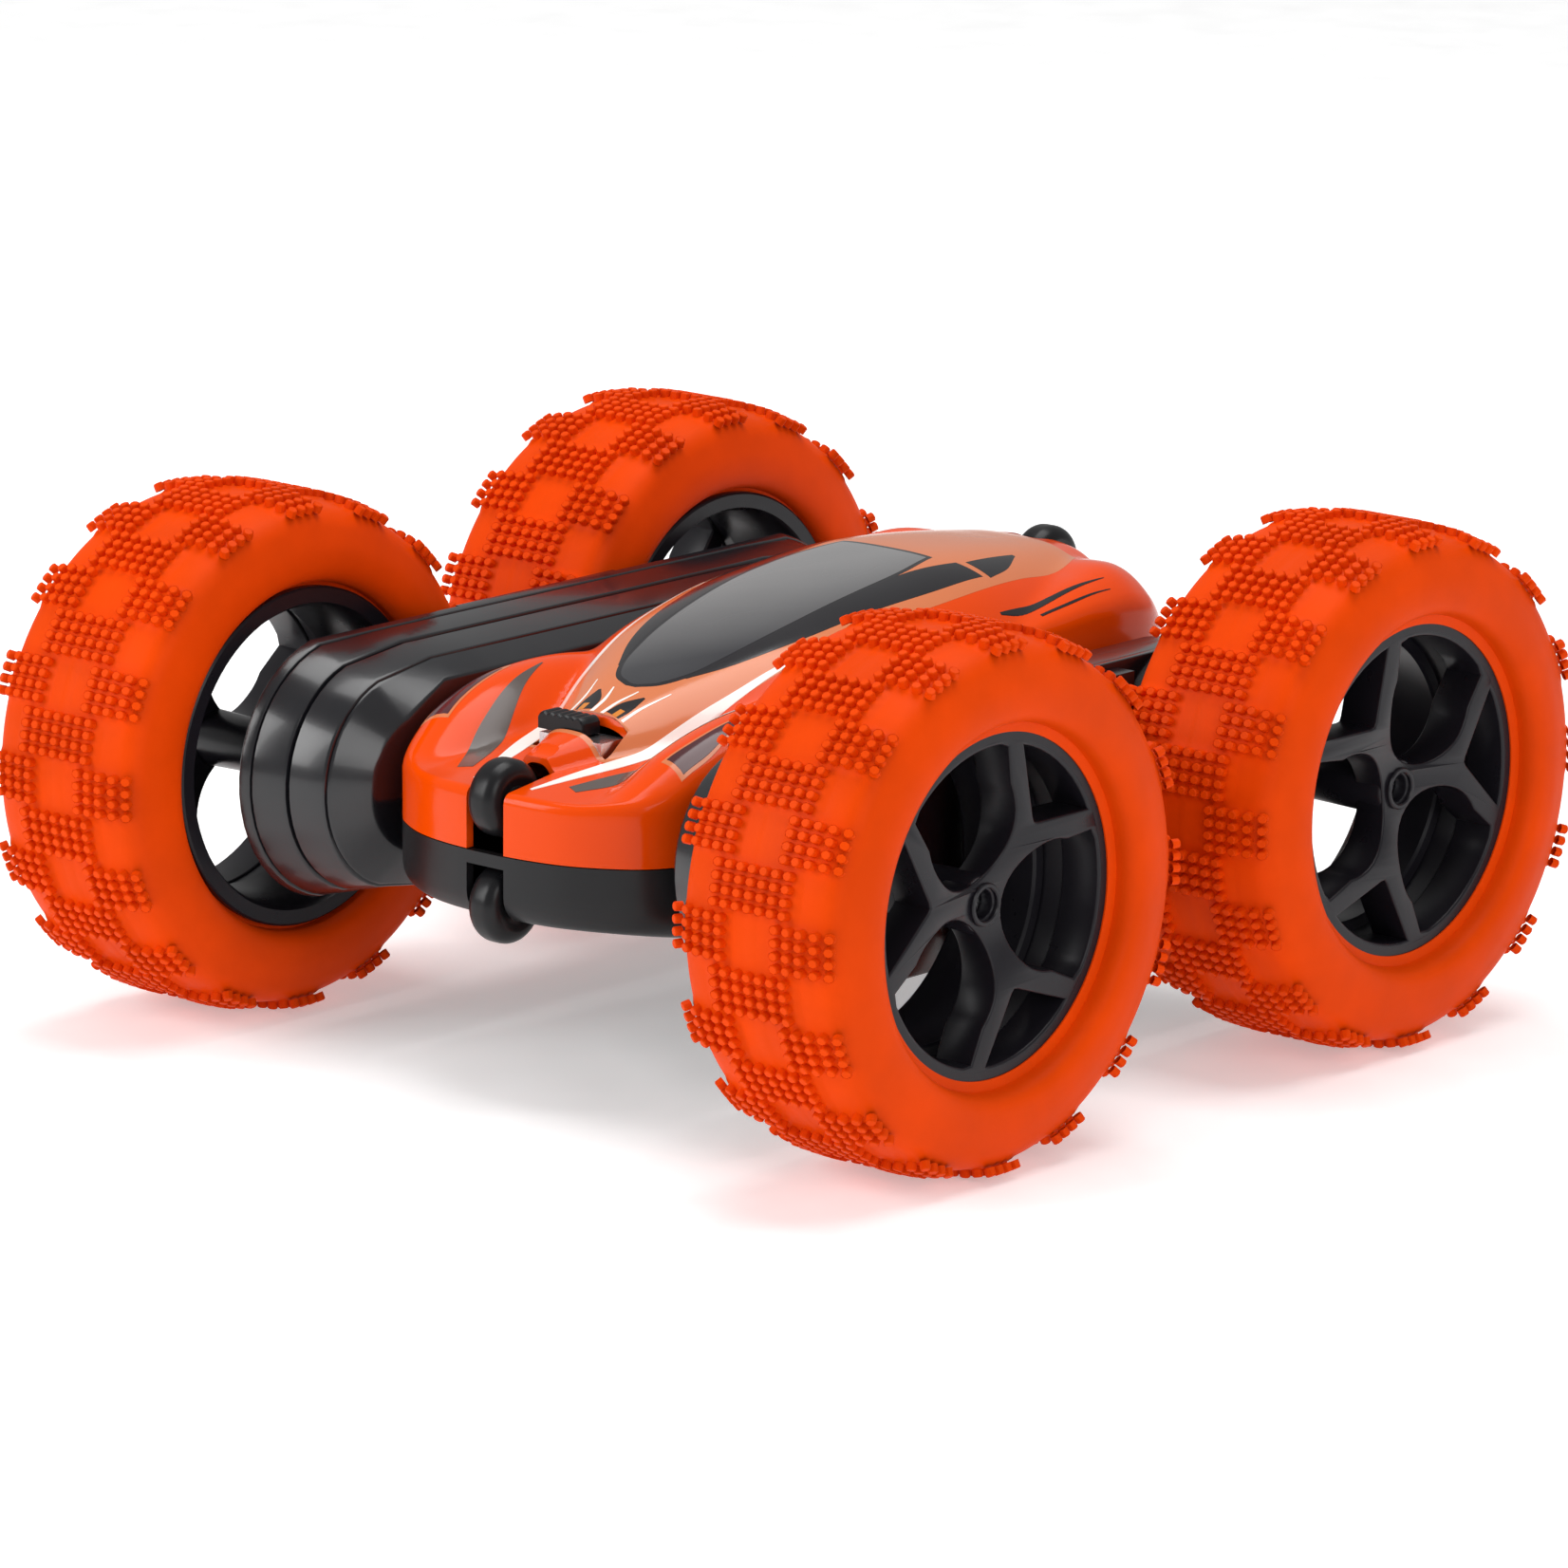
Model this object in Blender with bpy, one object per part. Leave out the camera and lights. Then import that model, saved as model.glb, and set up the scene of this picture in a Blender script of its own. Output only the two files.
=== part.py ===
"""Radio-controlled double-sided stunt car.

A slim body hangs between two swinging arms. Each arm carries a motor and a gear
train that turns its front and its rear wheel together. Lengths below are in
millimetres; MM turns them into metres as each mesh is made.
Frame: +Z up, nose towards -Y, origin on the floor midway between the four wheels.
"""

import math

import bmesh
import bpy
from mathutils import Vector

MM = 0.001

# Wheels
WHEEL_R = 36.0            # tyre radius over the tread
AXLE_Z = WHEEL_R          # axle height above the floor
HALF_BASE = 43.36         # axle to the middle of the car, along Y
HALF_TRACK = 61.86        # wheel centre plane to the middle of the car, along X
TYRE_HALF_W = 14.16
RIM_R = 23.4              # black flange seen inside the tyre
SEAT_R = 22.0             # tyre seat on the rim
RIM_BORE_R = 20.9
GAP = 0.3                 # air between pieces that touch on the real car
AXLE_R = 1.5
WHEEL_SEGS = 24

# Gears: pitch radius is module * teeth / 2
MODULE = 1.2
SMALL_MODULE = 0.8
CENTRE_TEETH = 16
IDLER_TEETH = 18
AXLE_TEETH = 21
BIG_TEETH = 21
PINION_TEETH = 8
TRAIN_X = (33.1, 35.3)    # layer of the centre, idler and axle gears
DRIVE_X = (31.0, 32.8)    # layer of the pinion and the big gear
GEAR_BORE_R = AXLE_R + GAP

# Arms: outline stations from the body side outwards, (x, drum radius, beam half height)
ARM_STATIONS = ((27.0, 12.6, 13.4), (28.6, 14.2, 15.4), (34.0, 15.8, 16.9),
                (36.9, 16.6, 17.3), (37.2, 17.0, 17.4), (42.0, 18.2, 17.8), (44.0, 18.4, 17.6))
ARM_SPLIT = 4             # the outer housing starts at this station
ARM_WALL = 1.2
BLOCK_HALF_Y = 16.0       # motor cover that stands out of the arm's outer face
BLOCK_OUT_X = 47.0
BLOCK_HALF_Z = 17.2
MOTOR_X = (35.7, 45.4)
MOTOR_HALF_Y = 6.0
MOTOR_HALF_Z = 4.4
SHAFT_R = 0.8
MOTOR_ANGLE = math.radians(-68)   # direction of the motor from the arm's middle
MOTOR_DISTANCE = (BIG_TEETH + PINION_TEETH) * SMALL_MODULE / 2
MOTOR_Y = MOTOR_DISTANCE * math.cos(MOTOR_ANGLE)
MOTOR_Z = AXLE_Z + MOTOR_DISTANCE * math.sin(MOTOR_ANGLE)
PIVOT_R = 4.0             # sleeve that the arm turns on
PIVOT_SCREW_R = 1.4

# Body
SEAM_Z = 33.9
BODY_WALL = 1.3
# y, half width, centre height, shoulder height, edge height, underside height
BODY_STATIONS = ((-60.5, 5.5, 42.6, 42.5, 42.2, 25.2),
                 (-58.6, 12.2, 43.4, 43.0, 42.2, 24.9),
                 (-54.6, 18.6, 44.9, 44.2, 42.4, 24.2),
                 (-48.6, 24.2, 46.9, 47.0, 43.6, 23.0),
                 (-40.0, 25.6, 49.6, 50.4, 46.2, 21.6),
                 (-28.0, 25.2, 53.9, 51.6, 47.4, 20.4),
                 (-12.0, 23.8, 59.0, 52.4, 47.8, 19.8),
                 (4.0, 23.2, 62.2, 54.0, 48.2, 19.6),
                 (20.0, 24.2, 63.5, 56.2, 49.4, 19.6),
                 (34.0, 25.5, 62.7, 57.4, 50.8, 19.4),
                 (46.0, 25.4, 60.2, 57.0, 50.8, 18.8),
                 (54.0, 22.0, 55.8, 53.6, 48.8, 18.8),
                 (59.5, 16.0, 50.0, 49.2, 46.6, 21.0),
                 (62.2, 8.0, 44.0, 43.8, 43.0, 25.0))
DOOR_HALF_X = 9.3
DOOR_HALF_Y = 28.0
DOOR_Z = (19.6, 21.0)
DOOR_SCREW_Y = 24.6
CELL_Z = 28.4             # middle of the battery cell, which lies along Y
BOARD_LOW = (-15.0, -33.0, 42.0)
BOARD_HIGH = (15.0, 22.0, 43.6)
SWITCH_HALF_X = 5.5
SWITCH_HALF_Y = 2.4

# Rollers at the nose and the tail, which guide the car as it rears up and turns over
ROLLER_HALF_W = 3.1
STUB_R = 1.2              # stub axles, moulded on the roller
STUB_HALF_W = 5.2
SLOT_HALF_W = 3.9
NOSE_SLOT_Y = (-64.0, -50.5)
TAIL_SLOT_Y = (47.6, 60.4)
DIVIDER_HALF_H = 1.9      # bar left between the two nose slots
# name: y, z, radius
ROLLERS = {"nose_roller_upper": (-56.8, 40.8, 5.4),
           "nose_roller_lower": (-56.6, 26.5, 5.5),
           "tail_roller_upper": (54.0, 55.0, 5.5),
           "tail_roller_lower": (54.0, 20.4, 5.5)}
KNOB = (-2.4, -41.6, 48.6)
KNOB_SIZE = (9.0, 3.6, 3.4)
KNOB_TRAVEL = 3.6
KNOB_RIBS = 5

SHARP_ANGLE = math.radians(35)
THROUGH = 40.0            # half length of a cutter that goes right through the body

COLOURS = {"orange": ((0.93, 0.17, 0.01, 1), 0.18, 0.0),
           "rubber": ((0.92, 0.13, 0.01, 1), 0.55, 0.0),
           "black_gloss": ((0.012, 0.012, 0.014, 1), 0.22, 0.0),
           "black_satin": ((0.02, 0.02, 0.022, 1), 0.38, 0.0),
           "steel": ((0.6, 0.6, 0.62, 1), 0.3, 1.0),
           "nylon": ((0.85, 0.84, 0.8, 1), 0.45, 0.0),
           "board": ((0.02, 0.22, 0.07, 1), 0.4, 0.0),
           "cell": ((0.05, 0.18, 0.45, 1), 0.35, 0.0)}


def material_for(name, finish):
    colour, roughness, metallic = COLOURS[finish]
    material = bpy.data.materials.new(name)
    material.use_nodes = True
    shader = material.node_tree.nodes["Principled BSDF"]
    shader.inputs["Base Color"].default_value = colour
    shader.inputs["Roughness"].default_value = roughness
    shader.inputs["Metallic"].default_value = metallic
    return material


def finish_object(name, bm, finish):
    """Turn a bmesh in millimetres into one closed, outward-facing object in metres."""
    bmesh.ops.scale(bm, vec=(MM, MM, MM), verts=bm.verts)
    bmesh.ops.recalc_face_normals(bm, faces=bm.faces)
    mesh = bpy.data.meshes.new(name)
    bm.to_mesh(mesh)
    bm.free()
    mesh.shade_smooth()
    mesh.set_sharp_from_angle(angle=SHARP_ANGLE)
    obj = bpy.data.objects.new(name, mesh)
    obj.data.materials.append(material_for(name, finish))
    bpy.context.scene.collection.objects.link(obj)
    return obj


def loft(bm, loops, closed=False):
    """Skin a list of point loops; the ends are capped unless the loops close in a ring."""
    rings = [[bm.verts.new(point) for point in loop] for loop in loops]
    pairs = list(zip(rings, rings[1:]))
    if closed:
        pairs.append((rings[-1], rings[0]))
    for first, second in pairs:
        for i in range(len(first)):
            j = (i + 1) % len(first)
            bm.faces.new((first[i], first[j], second[j], second[i]))
    if not closed:
        bm.faces.new(rings[0])
        bm.faces.new(rings[-1])


def lofted(name, loops, finish, closed=False):
    bm = bmesh.new()
    loft(bm, loops, closed)
    return finish_object(name, bm, finish)


def circle(x, y, z, radius, count, phase=0.0):
    """A loop round an axis that lies along X."""
    angles = [phase + 2 * math.pi * i / count for i in range(count)]
    return [(x, y + radius * math.cos(a), z + radius * math.sin(a)) for a in angles]


def turned(name, profile, y, z, finish, segs=20, ring=False):
    """A turned piece on an X axis from (x, radius) pairs; ring=True closes the profile."""
    loops = [circle(x, y, z, radius, segs) for x, radius in profile]
    return lofted(name, loops, finish, closed=ring)


def box(name, low, high, finish):
    (x0, y0, z0), (x1, y1, z1) = low, high
    loops = [[(x, y0, z), (x, y1, z), (x1, y1, z), (x1, y0, z)] for x, z in ((x0, z0), (x0, z1))]
    return lofted(name, loops, finish)


def combine(target, tools, operation="DIFFERENCE"):
    """Cut tools from, or join them to, the target, and remove them."""
    for tool in tools:
        modifier = target.modifiers.new("cut", "BOOLEAN")
        modifier.operation = operation
        modifier.object = tool
    bpy.context.view_layer.update()
    evaluated = target.evaluated_get(bpy.context.evaluated_depsgraph_get())
    mesh = bpy.data.meshes.new_from_object(evaluated)
    target.modifiers.clear()
    target.data = mesh
    for tool in tools:
        bpy.data.objects.remove(tool)
    mesh.set_sharp_from_angle(angle=SHARP_ANGLE)
    return target


def cutter_x(x0, x1, y, z, radius, segs=20):
    """Cylinder along X, used as a drill."""
    return turned("cutter", ((x0, radius), (x1, radius)), y, z, "steel", segs)


# ------------------------------------------------------------------ body shells

def body_half_section(width, centre, shoulder, edge):
    """Right half of the upper cross-section, from the middle line out to the seam."""
    return [(0.0, centre), (0.40 * width, centre - 0.12 * (centre - shoulder)),
            (0.62 * width, centre + 0.72 * (shoulder - centre)), (0.86 * width, shoulder),
            (0.97 * width, (shoulder + 2 * edge) / 3), (width, edge - 1.0)]


def shell_loop(y, half, seam, inset, sign):
    """Closed loop of one cross-section; inset moves it in to make the inner skin."""
    right = [(max(x - inset, 0.0), z - sign * inset) for x, z in half]
    right.append((max(half[-1][0] - inset, 0.4), seam))
    left = [(-x, z) for x, z in reversed(right) if x > 0]
    return [(x, y, z) for x, z in left + right]


def bottom_half_section(width, under):
    """Right half of the lower cross-section, from the middle line out to the seam."""
    return [(0.0, under), (0.55 * width, under + 0.2), (0.84 * width, under + 1.6),
            (width - 0.3, under + 5.0)]


def shell(name, sections, seam, sign, finish):
    """A bowl: outer skin loft minus an inner loft that runs past the seam."""
    outer = lofted(name, [shell_loop(y, half, seam, 0.0, sign) for y, half in sections], finish)
    end_wall = BODY_WALL + 0.9
    inner = list(sections[1:-1])
    inner[0] = (sections[0][0] + end_wall, inner[0][1])
    inner[-1] = (sections[-1][0] - end_wall, inner[-1][1])
    loops = [shell_loop(y, half, seam - sign * 2.0, BODY_WALL, sign) for y, half in inner]
    return combine(outer, [lofted("cutter", loops, finish)])


def slot_cutter(y0, y1, z0, z1):
    """Roller slot on the middle line."""
    return box("cutter", (-SLOT_HALF_W, y0, z0), (SLOT_HALF_W, y1, z1), "steel")


def stub_holes(names):
    """Bearing holes for the rollers' stub axles."""
    for roller in names:
        y, z, _ = ROLLERS[roller]
        yield cutter_x(-STUB_HALF_W - GAP, STUB_HALF_W + GAP, y, z, STUB_R + GAP, 12)


def make_top_shell():
    sections = [(y, body_half_section(width, centre, shoulder, edge))
                for y, width, centre, shoulder, edge, _ in BODY_STATIONS]
    top = shell("top_shell", sections, SEAM_Z + GAP / 2, 1, "orange")
    x, y, z = KNOB
    reach_x = KNOB_SIZE[0] / 2 + GAP
    reach_y = KNOB_SIZE[1] / 2 + GAP
    knob_slot = box("cutter", (x - reach_x, y - reach_y, z - 6),
                    (x + reach_x + KNOB_TRAVEL, y + reach_y, z + 6), "steel")
    combine(top, [slot_cutter(*NOSE_SLOT_Y, SEAM_Z - 4, 50.0),
                  slot_cutter(*TAIL_SLOT_Y, 48.6, 64.0),
                  knob_slot,
                  cutter_x(-THROUGH, THROUGH, 0.0, AXLE_Z, PIVOT_R + GAP, 24),
                  *stub_holes(("nose_roller_upper", "tail_roller_upper"))])


def make_bottom_shell():
    sections = [(y, bottom_half_section(width, under)) for y, width, _, _, _, under in BODY_STATIONS]
    bottom = shell("bottom_shell", sections, SEAM_Z - GAP / 2, -1, "black_satin")
    reach_x = DOOR_HALF_X + GAP
    reach_y = DOOR_HALF_Y + GAP
    door_hole = box("cutter", (-reach_x, -reach_y, 10.0), (reach_x, reach_y, 24.0), "steel")
    combine(bottom, [slot_cutter(*NOSE_SLOT_Y, 12.0, SEAM_Z - DIVIDER_HALF_H),
                     slot_cutter(*TAIL_SLOT_Y, 12.0, 27.5),
                     door_hole,
                     cutter_x(-THROUGH, THROUGH, 0.0, AXLE_Z, PIVOT_R + GAP, 24),
                     *stub_holes(("nose_roller_lower", "tail_roller_lower"))])


def make_body():
    make_top_shell()
    make_bottom_shell()
    door = box("battery_door", (-DOOR_HALF_X, -DOOR_HALF_Y, DOOR_Z[0]),
               (DOOR_HALF_X, DOOR_HALF_Y, DOOR_Z[1]), "black_satin")
    combine(door, [turned_z("cutter", ((10.0, 1.6), (30.0, 1.6)), 0.0, DOOR_SCREW_Y, "steel")])
    turned_z("door_screw", ((19.9, 0.7), (19.9, 1.3), (22.6, 1.2), (23.4, 0.5)), 0.0, DOOR_SCREW_Y, "steel")
    turned_y("battery_pack", ((-25.0, 5.8), (-24.2, 6.5), (20.8, 6.5), (21.6, 5.8)), 0.0, CELL_Z, "cell")
    box("circuit_board", BOARD_LOW, BOARD_HIGH, "board")
    _, y, z = KNOB
    box("switch_body", (-SWITCH_HALF_X, y - SWITCH_HALF_Y, BOARD_HIGH[2] + GAP),
        (SWITCH_HALF_X, y + SWITCH_HALF_Y, z - KNOB_SIZE[2] / 2 - GAP), "steel")
    for side, name in ((-1, "left"), (1, "right")):
        make_pivot(side, name)


def turned_z(name, profile, x, y, finish, segs=12):
    """A turned piece on a Z axis from (z, radius) pairs."""
    loops = []
    for z, radius in profile:
        angles = [2 * math.pi * i / segs for i in range(segs)]
        loops.append([(x + radius * math.cos(a), y + radius * math.sin(a), z) for a in angles])
    return lofted(name, loops, finish)


def turned_y(name, profile, x, z, finish, segs=18):
    """A turned piece on a Y axis from (y, radius) pairs."""
    loops = []
    for y, radius in profile:
        angles = [2 * math.pi * i / segs for i in range(segs)]
        loops.append([(x + radius * math.cos(a), y, z + radius * math.sin(a)) for a in angles])
    return lofted(name, loops, finish)


def make_pivot(side, name):
    """Fixed sleeve that the arm turns on, and the flanged screw that keeps the arm there."""
    bore = PIVOT_SCREW_R + GAP
    sleeve = ((14.0, PIVOT_R), (28.5, PIVOT_R), (28.5, bore), (18.0, bore), (18.0, 0.2), (14.0, 0.2))
    screw = ((18.4, 1.1), (18.8, PIVOT_SCREW_R), (28.8, PIVOT_SCREW_R), (28.8, 5.4), (29.8, 5.4),
             (30.5, 4.0), (30.5, 1.2), (29.9, 1.0))
    turned(name + "_pivot_sleeve", [(side * x, r) for x, r in sleeve], 0.0, AXLE_Z, "black_satin", 24,
           ring=True)
    turned(name + "_pivot_screw", [(side * x, r) for x, r in screw], 0.0, AXLE_Z, "steel", 16)


def make_rollers():
    for name, (y, z, radius) in ROLLERS.items():
        w = ROLLER_HALF_W
        half = ((w, STUB_R), (w, radius - 1.2), (w - 0.5, radius - 0.4), (w - 1.3, radius))
        profile = [(-STUB_HALF_W, STUB_R)] + [(-x, r) for x, r in half]
        profile += list(reversed(half)) + [(STUB_HALF_W, STUB_R)]
        turned(name, profile, y, z, "black_satin", 14)


def make_switch_knob():
    """Slide knob with finger ribs across its top; its origin sits on its slot line."""
    x, y, z = KNOB
    half_x, half_y, half_z = (v / 2 for v in KNOB_SIZE)
    outline = [(-half_x, -half_z), (half_x, -half_z), (half_x, half_z - 0.6)]
    pitch = 2 * half_x / KNOB_RIBS
    for i in range(KNOB_RIBS):
        left = half_x - (i + 1) * pitch
        outline += [(left + 0.75 * pitch, half_z), (left + 0.25 * pitch, half_z), (left, half_z - 0.6)]
    loops = [[(px, dy, pz) for px, pz in outline] for dy in (-half_y, half_y)]
    knob = lofted("switch_knob", loops, "black_satin")
    knob.location = Vector((x, y, z)) * MM


# ------------------------------------------------------------------------ arms

def arm_outline(x, drum, half_height, inset=0.0):
    """Dog-bone loop: a round drum at each axle joined by a straight beam."""
    radius = drum - inset
    height = half_height - inset
    reach = math.asin(min(height / radius, 0.995)) if height < radius else 1.18
    count = 6
    arc = [-reach + 2 * reach * i / (count * 2) for i in range(count * 2 + 1)]
    loop = []
    for a in arc:
        loop.append((x, HALF_BASE + radius * math.cos(a), AXLE_Z + radius * math.sin(a)))
    for y in (BLOCK_HALF_Y + 2, 0.0, -BLOCK_HALF_Y - 2):
        loop.append((x, y, AXLE_Z + height))
    for a in arc:
        loop.append((x, -HALF_BASE - radius * math.cos(a), AXLE_Z - radius * math.sin(a)))
    for y in (-BLOCK_HALF_Y - 2, 0.0, BLOCK_HALF_Y + 2):
        loop.append((x, y, AXLE_Z - height))
    return loop


def mirrored(loop, side):
    """The loop on the right (1) or the left (-1) side of the car."""
    return [(side * x, y, z) for x, y, z in loop]


def cup(name, stations, closed_end, side, finish):
    """A housing half: outer skin out to its open edge and back along the inner skin."""
    ordered = list(stations) if closed_end == "first" else list(reversed(stations))
    step = 1 if closed_end == "first" else -1
    outer = [arm_outline(*station) for station in ordered]
    inner = [arm_outline(*station, inset=ARM_WALL) for station in reversed(ordered[1:])]
    x, drum, height = ordered[0]
    inner.append(arm_outline(x + step * ARM_WALL, drum, height, inset=ARM_WALL))
    return lofted(name, [mirrored(loop, side) for loop in outer + inner], finish)


def block_box(grow, x0, x1):
    """The motor cover's block, grown or shrunk in Y and Z."""
    half_y = BLOCK_HALF_Y + grow
    half_z = BLOCK_HALF_Z + grow
    return box("tool", (x0, -half_y, AXLE_Z - half_z), (x1, half_y, AXLE_Z + half_z), "black_gloss")


def side_x(side, x0, x1):
    """A span of X on this side, lowest first."""
    return (min(side * x0, side * x1), max(side * x0, side * x1))


def make_housings(side, name):
    inner = cup(name + "_arm_inner_housing", ARM_STATIONS[:ARM_SPLIT], "first", side, "black_gloss")
    holes = [cutter_x(*side_x(side, 20, 29.5), 0.0, AXLE_Z, PIVOT_R + GAP, 24)]
    combine(inner, holes)

    outer = cup(name + "_arm_outer_housing", ARM_STATIONS[ARM_SPLIT:], "last", side, "black_gloss")
    cover = block_box(0.0, *side_x(side, 42.0, BLOCK_OUT_X))
    combine(outer, [cover], "UNION")
    hollow = block_box(-ARM_WALL, *side_x(side, 37.5, BLOCK_OUT_X - ARM_WALL))
    axle_holes = [cutter_x(*side_x(side, 36, 50), y, AXLE_Z, AXLE_R + GAP) for y in (-HALF_BASE, HALF_BASE)]
    combine(outer, [hollow] + axle_holes)


def gear_mesh(bm, module, teeth, x0, x1, y, z, phase):
    """Coarse pointed-tooth gear on an X axis, as three outline points a tooth."""
    pitch_r = module * teeth / 2
    tip_r = pitch_r + 0.74 * module
    root_r = pitch_r - 1.0 * module
    step = 2 * math.pi / teeth
    half_root = 0.42 * step
    outline = []
    for i in range(teeth):
        middle = phase + i * step
        outline += [(middle - half_root, root_r), (middle, tip_r), (middle + half_root, root_r)]
    loft(bm, [[(x, y + r * math.cos(a), z + r * math.sin(a)) for a, r in outline] for x in (x0, x1)])


def gear(name, module, teeth, layer, side, y, z, phase, bore=GEAR_BORE_R, finish="nylon"):
    bm = bmesh.new()
    gear_mesh(bm, module, teeth, *side_x(side, *layer), y, z, phase)
    obj = finish_object(name, bm, finish)
    if bore:
        combine(obj, [cutter_x(*side_x(side, layer[0] - 3, layer[1] + 3), y, z, bore, 12)])
    return obj


def meshed_phase(phase, teeth, follower_teeth, direction):
    """Phase of a gear that meshes with one at this phase, lying in this direction from it."""
    step = 2 * math.pi / teeth
    follower_step = 2 * math.pi / follower_teeth
    along = ((direction - phase) / step) % 1.0
    return direction + math.pi - (0.5 - along) * follower_step


def make_train(side, name):
    """Motor, pinion, compound gear, two idlers and two axle gears, all in mesh."""
    centre = (0.0, AXLE_Z)
    near = (CENTRE_TEETH + IDLER_TEETH) * MODULE / 2
    far = (IDLER_TEETH + AXLE_TEETH) * MODULE / 2
    lift_angle = math.acos((near ** 2 + HALF_BASE ** 2 - far ** 2) / (2 * near * HALF_BASE))
    idler_y = near * math.cos(lift_angle)
    idler_z = AXLE_Z + near * math.sin(lift_angle)

    centre_phase = 0.0
    compound = gear(name + "_compound_gear", MODULE, CENTRE_TEETH, TRAIN_X, side, *centre,
                    centre_phase, bore=None)
    big_phase = meshed_phase(MOTOR_ANGLE, PINION_TEETH, BIG_TEETH, MOTOR_ANGLE + math.pi)
    big = gear("tool", SMALL_MODULE, BIG_TEETH, (DRIVE_X[0], TRAIN_X[0] + 0.4), side, *centre,
               big_phase, bore=None)
    combine(compound, [big], "UNION")
    combine(compound, [cutter_x(*side_x(side, 25, 45), *centre, GEAR_BORE_R, 12)])

    pinion = gear(name + "_motor_pinion", SMALL_MODULE, PINION_TEETH, DRIVE_X, side, MOTOR_Y, MOTOR_Z,
                  MOTOR_ANGLE, bore=None, finish="steel")
    shaft = cutter_x(*side_x(side, DRIVE_X[1] - 0.5, 37.4), MOTOR_Y, MOTOR_Z, SHAFT_R, 10)
    combine(pinion, [shaft], "UNION")

    x0, x1 = side_x(side, *MOTOR_X)
    motor = box(name + "_motor", (x0, MOTOR_Y - MOTOR_HALF_Y, MOTOR_Z - MOTOR_HALF_Z),
                (x1, MOTOR_Y + MOTOR_HALF_Y, MOTOR_Z + MOTOR_HALF_Z), "steel")
    combine(motor, [cutter_x(*side_x(side, 30, 38.0), MOTOR_Y, MOTOR_Z, SHAFT_R + GAP, 10)])

    turned(name + "_compound_pin", [(side * 31.4, 0.8), (side * 31.8, AXLE_R), (side * 45.4, AXLE_R)],
           *centre, "steel", 12)
    for end, end_name in ((-1, "front"), (1, "rear")):
        to_idler = lift_angle if end > 0 else math.pi - lift_angle
        idler_phase = meshed_phase(centre_phase, CENTRE_TEETH, IDLER_TEETH, to_idler)
        y = end * idler_y
        gear(f"{name}_{end_name}_idler_gear", MODULE, IDLER_TEETH, TRAIN_X, side, y, idler_z, idler_phase)
        turned(f"{name}_{end_name}_idler_pin", [(side * 28.6, AXLE_R), (side * 42.4, AXLE_R)],
               y, idler_z, "steel", 12)
        to_axle = math.atan2(AXLE_Z - idler_z, end * HALF_BASE - y)
        axle_phase = meshed_phase(idler_phase, IDLER_TEETH, AXLE_TEETH, to_axle)
        gear(f"{name}_{end_name}_axle_gear", MODULE, AXLE_TEETH, TRAIN_X, side,
             end * HALF_BASE, AXLE_Z, axle_phase)


# ---------------------------------------------------------------------- wheels

TYRE_PROFILE = ((8.9, 22.3), (8.9, 23.7), (12.7, 24.4), (14.16, 27.4), (14.0, 31.2), (12.2, 34.4),
                (8.4, 36.0), (-8.4, 36.0), (-12.2, 34.4), (-14.0, 31.2), (-14.16, 27.4),
                (-13.3, 24.4), (-10.6, 23.7), (-10.6, 22.3))
BARREL_PROFILE = ((10.66, 21.4), (10.66, RIM_R), (9.2, RIM_R), (9.2, SEAT_R), (-10.9, SEAT_R),
                  (-10.9, RIM_R), (-12.36, RIM_R), (-12.36, RIM_BORE_R))
SPOKES = 3
SPOKE_X = (4.6, 10.66)    # forked spokes, flush with the rim's outer face
# How far each wheel is turned at rest, in degrees from +Y towards +Z
SPOKE_PHASE = {"left_front": 114.0, "left_rear": 128.0, "right_front": 50.6, "right_rear": 128.0}
HUB_X = (-8.0, 9.0)
HUB_R = 3.4
HEAD_SEAT_R = 2.3
WINDOW_CENTRE = 12.1      # the three large windows: round near the hub, spreading to the rim
WINDOW_R = 8.5
WINDOW_SPREAD = math.radians(27.5)
FORK_START = 13.2         # the three small windows: a triangle inside each fork
FORK_SPREAD = math.radians(24.0)


def window_outline():
    """Large window, in (outwards, across) from the hub along its middle direction."""
    arc = [math.radians(a) for a in range(75, 286, 30)]
    points = [(WINDOW_CENTRE + WINDOW_R * math.cos(a), WINDOW_R * math.sin(a)) for a in arc]
    rim_arc = [WINDOW_SPREAD * t for t in (-1.0, -0.5, 0.0, 0.5, 1.0)]
    return points + [(RIM_BORE_R * math.cos(a), RIM_BORE_R * math.sin(a)) for a in rim_arc]


def fork_outline():
    """Small window, a triangle between the two arms of a fork."""
    rim_arc = [FORK_SPREAD * t for t in (-1.0, 0.0, 1.0)]
    return [(FORK_START, 0.0)] + [(RIM_BORE_R * math.cos(a), RIM_BORE_R * math.sin(a)) for a in rim_arc]


def window_cutter(outline, side, y, direction):
    """Prism along X through the spokes, turned to its direction round the hub."""
    c, s = math.cos(direction), math.sin(direction)
    loops = [[(side * (HALF_TRACK + u), y + a * c - b * s, AXLE_Z + a * s + b * c) for a, b in outline]
             for u in (SPOKE_X[0] - 2, SPOKE_X[1] + 2)]
    return lofted("cutter", loops, "steel")


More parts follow.
